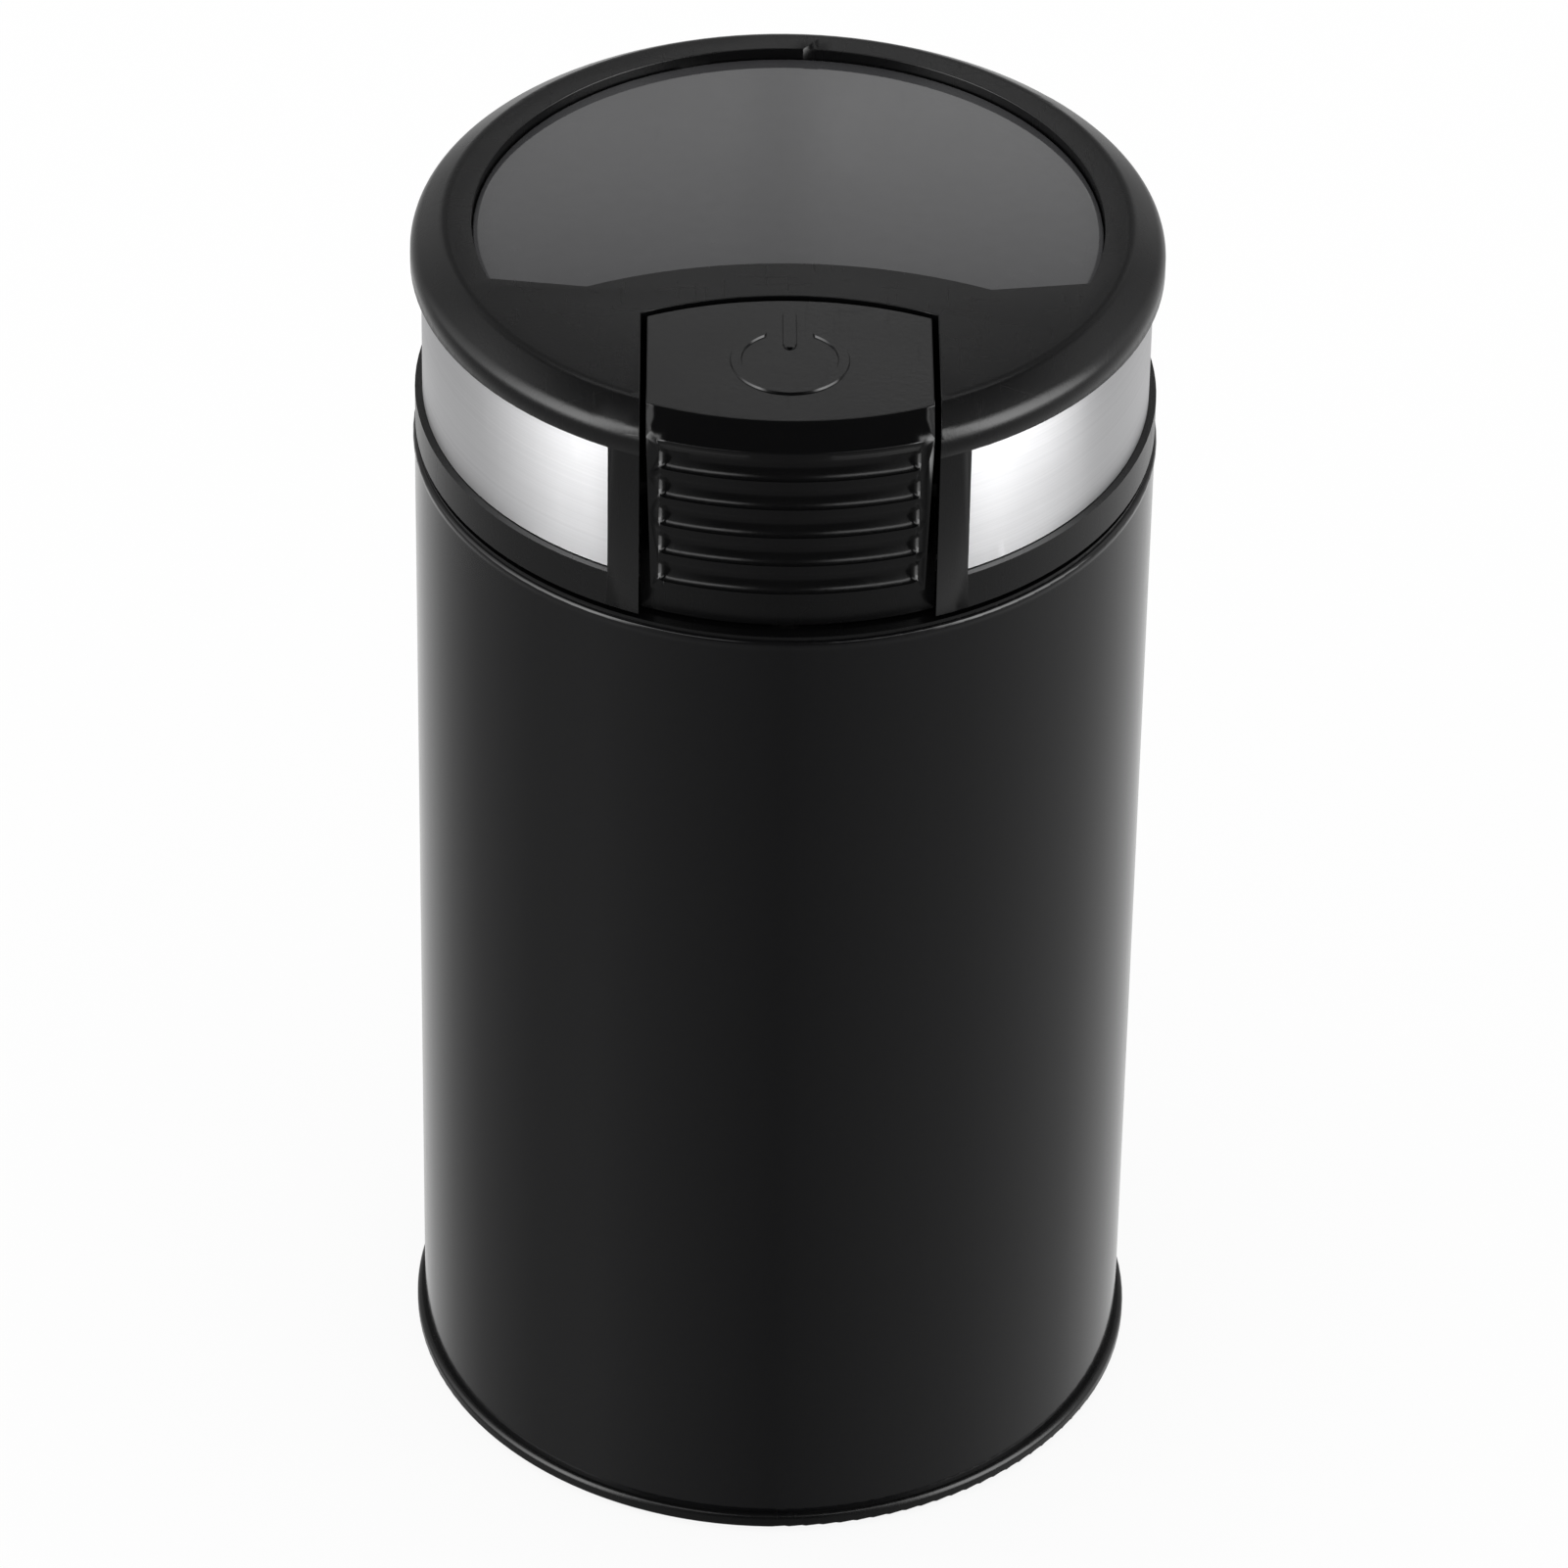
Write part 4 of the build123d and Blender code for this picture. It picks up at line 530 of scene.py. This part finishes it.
band_steel = finish("band_steel", (0.74, 0.74, 0.75), 0.4, metallic=1.0, pattern=BRUSHING,
                    tint=0.12, spread=0.03, Pitch=0.00012, Depth=0.2)
band_skin = band_steel.node_tree.nodes["Principled BSDF"]
band_skin.inputs["Anisotropic"].default_value = 0.9
band_skin.inputs["Anisotropic Rotation"].default_value = 0.25
band_way = add(band_steel.node_tree, "ShaderNodeTangent", direction_type="RADIAL", axis="Z")
band_steel.node_tree.links.new(band_way.outputs[0], band_skin.inputs["Tangent"])
band_thickness = 0.0004
band_round = 0.00008
band_round_steps = 4
band_end = radians(28.35)
band_steps = 241
band_low, band_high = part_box("steel_band")
band_inner = band_high[0] - band_thickness
band_outline = rounded(
    [(band_inner, band_low[2]), (band_high[0], band_low[2]), (band_high[0], band_high[2]),
     (band_inner, band_high[2])],
    [band_round] * 4, band_round_steps,
)
band_turns = np.linspace(band_end, 2 * pi - band_end, band_steps)
band_grid = capped(turned(band_outline, band_turns))
woven("band", [(band_grid, True, False)], material=band_steel, body="lid", nodes=["steel_band"],
      slot="stainless")

# Window: a pane of smoked plastic, cut to a circle with a bowed and slanted front, let into the
# lid's frame. Its upper edge is finely rounded and its faces are polished.
pane_low, pane_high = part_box("lid_window")
pane_radius = pane_high[1]
pane_middle = 0.012
pane_round = 0.0002
pane_round_steps = 6
pane_margin = 0.0006
pane_steps = 360
slant_slope = 0.1326
slant_cut = -0.0185
bow_centre = -0.0698
bow_radius = 0.06015
hardly_any = 1e-9
out_of_reach = 1.0


def pane_reach(turns, inset):
    """How far the pane reaches from its middle at each turn, less an inset.

    It is the nearest of three edges, each found along the ray from the middle: the circle, the
    slants y = cut + slope * |x|, and the bow's circle in front.
    """
    away_x, away_y = np.abs(np.sin(turns)), -np.cos(turns)
    toward = pane_middle * away_y
    circle = -toward + np.sqrt(toward ** 2 - pane_middle ** 2 + (pane_radius - inset) ** 2)
    fall = slant_slope * away_x - away_y
    slants = (pane_middle - slant_cut - inset) / np.where(fall > 0, fall, hardly_any)
    depth = (pane_middle - bow_centre) * away_y
    reach = depth ** 2 - (pane_middle - bow_centre) ** 2 + (bow_radius + inset) ** 2
    met = (reach > 0) & (depth < 0)
    bow = np.where(met, -depth - np.sqrt(np.maximum(reach, 0)), out_of_reach)
    return np.minimum(np.minimum(circle, slants), bow)


def corner_turn(offset, radius):
    """The turn at which a slant meets a circle; the offset is the slant's cut above its centre.

    The corner's x is the positive root of x^2 + (offset + slope * x)^2 = radius^2.
    """
    square = 1 + slant_slope ** 2
    root = np.sqrt((offset * slant_slope) ** 2 - square * (offset ** 2 - radius ** 2))
    x = (root - offset * slant_slope) / square
    return np.arctan2(x, pane_middle - slant_cut - slant_slope * x)


smoked = finish("smoked_pane", (0.06, 0.06, 0.063), 0.05, spread=0.02, Size=0.002, Depth=0.005)
smoked.node_tree.nodes["Principled BSDF"].inputs["Transmission Weight"].default_value = 0.25
outer_corner = corner_turn(slant_cut, pane_radius)
inner_corner = corner_turn(slant_cut - bow_centre, bow_radius)
pane_turns = np.unique(np.concatenate([
    np.linspace(-pi, pi, pane_steps, endpoint=False),
    [-outer_corner, -inner_corner, inner_corner, outer_corner],
]))
# The rows run from the middle of the lower face up the side and over the round to the upper face.
arc_turns = np.linspace(0, pi / 2, pane_round_steps)
insets = np.concatenate([[0.0], pane_round * (1 - np.cos(arc_turns)), [pane_round + pane_margin]])
reaches = np.stack([pane_reach(pane_turns, inset) for inset in insets])
middle_row = 0 * reaches[:1]
reaches = np.concatenate([middle_row, reaches, middle_row])
levels = np.concatenate([
    [pane_low[2], pane_low[2]], pane_high[2] - pane_round * (1 - np.sin(arc_turns)),
    [pane_high[2], pane_high[2]],
])[:, None]
pane = np.stack([reaches * np.sin(pane_turns), pane_middle - reaches * np.cos(pane_turns),
                 levels + 0 * reaches], axis=-1)
woven("window_pane", [(pane, False, True)], material=smoked, body="lid", nodes=["lid_window"],
      slot="smoked_plastic")

# Inner cup of the lid: clear plastic, held up in the shell by four screws, with a silicone ring
# that presses on the bowl's flange.
clear = finish("clear_cup", (0.6, 0.61, 0.62), 0.12, spread=0.03, Size=0.002, Depth=0.02)
clear.node_tree.nodes["Principled BSDF"].inputs["Transmission Weight"].default_value = 0.85
silicone = finish("silicone", (0.55, 0.55, 0.53), 0.6, gloss=0.4, Size=0.0006, Depth=0.15)
welded("lid_liner", clear)
welded("liner_screws", plated)
welded("lid_gasket", silicone)

# Button: a cap of glossier black plastic with five slots in its front, on a coil spring and a
# moulded guide. Its edges are slightly rounded, and a white plunger hangs below it.
glossy = finish("gloss_moulding", (0.0020, 0.0020, 0.0022), 0.18, spread=0.03, Size=0.0006,
                Depth=0.03)
button_edge_round = 0.00013
cap_face_top = 0.1725
welded("button_guide", satin)
shortened("button_spring")
welded("button_plunger", acetal)
button = welded("power_button", glossy)
round_edges(button, button_edge_round, cap_face_top)

# Sign on the button: the common sign for power, a ring open at the rear and a bar, moulded in one
# with the cap and a quarter of a millimetre proud of it.
rib_slope = 0.5
rib_root = 0.4
rib_end_steps = 8


def rib(path, half_width, height, foot):
    """A low rib with sloped sides on a flat path, its ends drawn in to a half circle.

    Six points lie across it at fixed shares of the half width, and its root is sunk below the foot
    by a share of its height. At the distance s from an end, the half width w is
    sqrt(w^2 - (w - s)^2).
    """
    along = np.gradient(path, axis=0)
    along /= np.linalg.norm(along, axis=1, keepdims=True)
    across = np.stack([along[:, 1], -along[:, 0]], axis=-1)
    steps = np.concatenate([[0], np.cumsum(np.linalg.norm(np.diff(path, axis=0), axis=1))])
    to_end = np.minimum(np.minimum(steps, steps[-1] - steps), half_width)
    width = np.sqrt(half_width ** 2 - (half_width - to_end) ** 2)[:, None]
    top = 1 - rib_slope * height / half_width
    shares = np.array([-1, -1, -top, top, 1, 1])[:, None, None]
    lifts = height * np.array([-rib_root, 0, 1, 1, 0, -rib_root])[:, None]
    flat = path + shares * width * across
    return np.concatenate([flat, (foot + lifts + 0 * steps)[..., None]], axis=-1)


def run(length, half_width, count):
    """Distances along a path: close together at its two ends, even between them.

    Those of an end are the half width times 1 - cos t, for even turns t up to a right angle.
    """
    end = half_width * (1 - np.cos(np.linspace(0, pi / 2, rib_end_steps)))
    between = np.linspace(half_width, length - half_width, count)[1:-1]
    return np.concatenate([end, between, (length - end)[::-1]])


sign_height = 0.00025
sign_sharp = 25
button_top = 0.1767
ring_middle = -0.0308
ring_radius = 0.00665
ring_half_width = 0.00075
ring_gap = radians(26)
ring_steps = 90
ring_run = run(2 * (pi - ring_gap) * ring_radius, ring_half_width, ring_steps)
ring_turns = pi + ring_gap + ring_run / ring_radius
ring_path = np.stack([ring_radius * np.sin(ring_turns),
                      ring_middle - ring_radius * np.cos(ring_turns)], axis=-1)
bar_front = -0.0283
bar_rear = -0.0202
bar_half_width = 0.0009
bar_steps = 4
bar_run = run(bar_rear - bar_front, bar_half_width, bar_steps)
bar_path = np.stack([0 * bar_run, bar_front + bar_run], axis=-1)
power_sign = [(rib(ring_path, ring_half_width, sign_height, button_top), True, False),
              (rib(bar_path, bar_half_width, sign_height, button_top), True, False)]
woven("power_sign", power_sign, material=glossy, body="button", nodes=[], slot="button_plastic",
      sharp=sign_sharp)

# Camera: where the photo was taken from, about 1.2 m off and looking 37 degrees down, with a long
# lens. Its place and angles were fitted to the outlines of the lid, the bead and the base ring.
camera_place = Vector((-0.0150, -0.9541, 0.8090))
camera_pitch = radians(37.065)
camera_yaw = radians(0.942)
camera_roll = radians(1.013)
camera_data = bpy.data.cameras.new("camera")
camera_data.lens = 209.07
camera_data.sensor_width = 36.0
camera = bpy.data.objects.new("camera", camera_data)
bpy.context.scene.collection.objects.link(camera)
ahead = Vector((sin(camera_yaw) * cos(camera_pitch), cos(camera_yaw) * cos(camera_pitch),
                -sin(camera_pitch)))
level = Vector((cos(camera_yaw), -sin(camera_yaw), 0.0))
upward = level.cross(ahead)
right = level * cos(camera_roll) + upward * sin(camera_roll)
above = upward * cos(camera_roll) - level * sin(camera_roll)
camera_axes = Matrix((right, above, -ahead)).transposed().to_4x4()
camera.matrix_world = Matrix.Translation(camera_place) @ camera_axes
bpy.context.scene.camera = camera

# Floor: white paper. Most of what the camera sees there is its own white, so that shadows stay but
# are pale.
floor_half = 3.0
floor_corners = ((-floor_half, -floor_half, 0), (floor_half, -floor_half, 0),
                 (floor_half, floor_half, 0), (-floor_half, floor_half, 0))
own_white = 0.9
floor_mesh = bpy.data.meshes.new("floor")
floor_mesh.from_pydata(floor_corners, [], [(0, 1, 2, 3)])
floor = bpy.data.objects.new("floor", floor_mesh)
bpy.context.scene.collection.objects.link(floor)
floor.visible_glossy = False
paper = bpy.data.materials.new("white_paper")
paper.use_nodes = True
pulp = paper.node_tree
sheet = pulp.nodes["Principled BSDF"]
sheet.inputs["Base Color"].default_value = (0.97, 0.97, 0.97, 1.0)
sheet.inputs["Roughness"].default_value = 0.9
sheet.inputs["Specular IOR Level"].default_value = 0.0
seen_white = add(pulp, "ShaderNodeEmission", {"Color": (1, 1, 1, 1), "Strength": 1.0})
looked_at = add(pulp, "ShaderNodeLightPath")
white_share = maths(pulp, "MULTIPLY", looked_at.outputs["Is Camera Ray"], own_white)
both = add(pulp, "ShaderNodeMixShader", {0: white_share, 1: sheet.outputs[0],
                                         2: seen_white.outputs[0]})
pulp.links.new(both.outputs[0], pulp.nodes["Material Output"].inputs["Surface"])
floor_mesh.materials.append(paper)

# Surround: white to the eye and for soft light. Mirror reflections see the studio instead: a dim
# room with bright sides, and small lamps behind the object and over the camera. Its heights run
# from -1, straight down, through 0, level, to 1, straight up.
world = bpy.data.worlds.new("studio")
bpy.context.scene.world = world
world.use_nodes = True
sky = world.node_tree
sky.nodes.clear()
light_path = add(sky, "ShaderNodeLightPath")
way = add(sky, "ShaderNodeSeparateXYZ", {0: add(sky, "ShaderNodeTexCoord").outputs["Generated"]})
to_front = maths(sky, "MULTIPLY", way.outputs[1], -1.0)
turn_from_front = maths(sky, "ARCTAN2", way.outputs[0], to_front)
whole_turn = maths(sky, "ADD", maths(sky, "DIVIDE", turn_from_front, 2 * pi), 0.5)
way_up = way.outputs[2]
brightest = 8.0


def around(stops):
    """Brightness by the turn from the front, in degrees to the right, straight between stops."""
    ramp = add(sky, "ShaderNodeValToRGB", {0: whole_turn})
    marks = ramp.color_ramp.elements
    while len(marks) < len(stops):
        marks.new(0.5)
    for mark, (turn, bright) in zip(marks, sorted(stops)):
        share = bright / brightest
        mark.position = 0.5 + turn / 360
        mark.color = (share, share, share, 1.0)
    return maths(sky, "MULTIPLY", ramp.outputs["Color"], brightest)


def step(value, edge, soft):
    """A smooth rise from 0 at edge - soft to 1 at edge + soft; a negative softness is a fall."""
    inputs = {"Value": value, "From Min": edge - soft, "From Max": edge + soft}
    return add(sky, "ShaderNodeMapRange", inputs, interpolation_type="SMOOTHSTEP").outputs[0]


def lamp(middle, half, low, high, bright, soft_side, soft_height):
    """A lamp with soft edges: the product of a step at each side, over its foot and under its top.

    Its middle turn and half width are in degrees, and the softness of its sides is in radians.
    """
    turn_off = maths(sky, "SUBTRACT", turn_from_front, radians(middle))
    off_middle = maths(sky, "ABSOLUTE", maths(sky, "WRAP", turn_off, pi, -pi))
    across = step(off_middle, radians(half), -soft_side)
    over = step(way_up, low, soft_height)
    under = step(way_up, high, -soft_height)
    lit = maths(sky, "MULTIPLY", maths(sky, "MULTIPLY", across, over), under)
    return maths(sky, "MULTIPLY", lit, bright)


below = around([
    (-180, 0.8), (-160, 0.75), (-142, 0.58), (-130, 0.43), (-112, 0.29), (-85, 0.23), (-60, 0.28),
    (-35, 0.21), (0, 0.12), (35, 0.22), (60, 0.29), (85, 0.38), (110, 0.46), (135, 0.62),
    (160, 0.75), (180, 0.8),
])
beside = around([
    (-180, 0.2), (-162, 0.2), (-150, 0.5), (-138, 0.4), (-130, 0.3), (-108, 1.1), (-96, 1.2),
    (-84, 2.7), (-56, 5.6), (-42, 0.3), (-20, 0.02), (20, 0.02), (42, 0.3), (56, 6.0), (84, 3.9),
    (92, 2.8), (97, 0.4), (114, 0.7), (127, 0.5), (140, 0.25), (150, 0.5), (162, 0.2), (180, 0.2),
])
overhead = 0.02
floor_line, floor_line_soft = -0.075, 0.175
ceiling, ceiling_soft = 0.725, 0.125
rise = step(way_up, floor_line, floor_line_soft)
fall = step(way_up, ceiling, -ceiling_soft)
upper = maths(sky, "ADD", maths(sky, "MULTIPLY", beside, fall), overhead)
mirrored = maths(sky, "ADD", maths(sky, "MULTIPLY", below, maths(sky, "SUBTRACT", 1.0, rise)),
                 maths(sky, "MULTIPLY", upper, rise))
# Each lamp has its middle turn, half width, foot, top, brightness, and softness in turn and height.
lamps = (
    (177.05, 2.0, 0.50, 0.555, 1.3, 0.006, 0.018),
    (-178.85, 2.0, 0.50, 0.555, 1.05, 0.006, 0.018),
    (180.0, 50.0, 0.85, 0.90, 1.6, 0.1, 0.02),
    (-34.0, 18.0, 0.68, 0.79, 2.2, 0.1, 0.03),
    (34.0, 18.0, 0.68, 0.79, 2.2, 0.1, 0.03),
)
for measures in lamps:
    mirrored = maths(sky, "ADD", mirrored, lamp(*measures))
first_number, second_number = 2, 3  # the sockets of a Mix node that mixes numbers
strength = add(sky, "ShaderNodeMix", {0: light_path.outputs["Is Glossy Ray"], first_number: 1.0,
                                      second_number: mirrored}, data_type="FLOAT")
background = add(sky, "ShaderNodeBackground", {"Color": (1, 1, 1, 1),
                                               "Strength": strength.outputs[0]})
add(sky, "ShaderNodeOutputWorld", {"Surface": background.outputs[0]})
bpy.context.scene.view_settings.view_transform = "Standard"
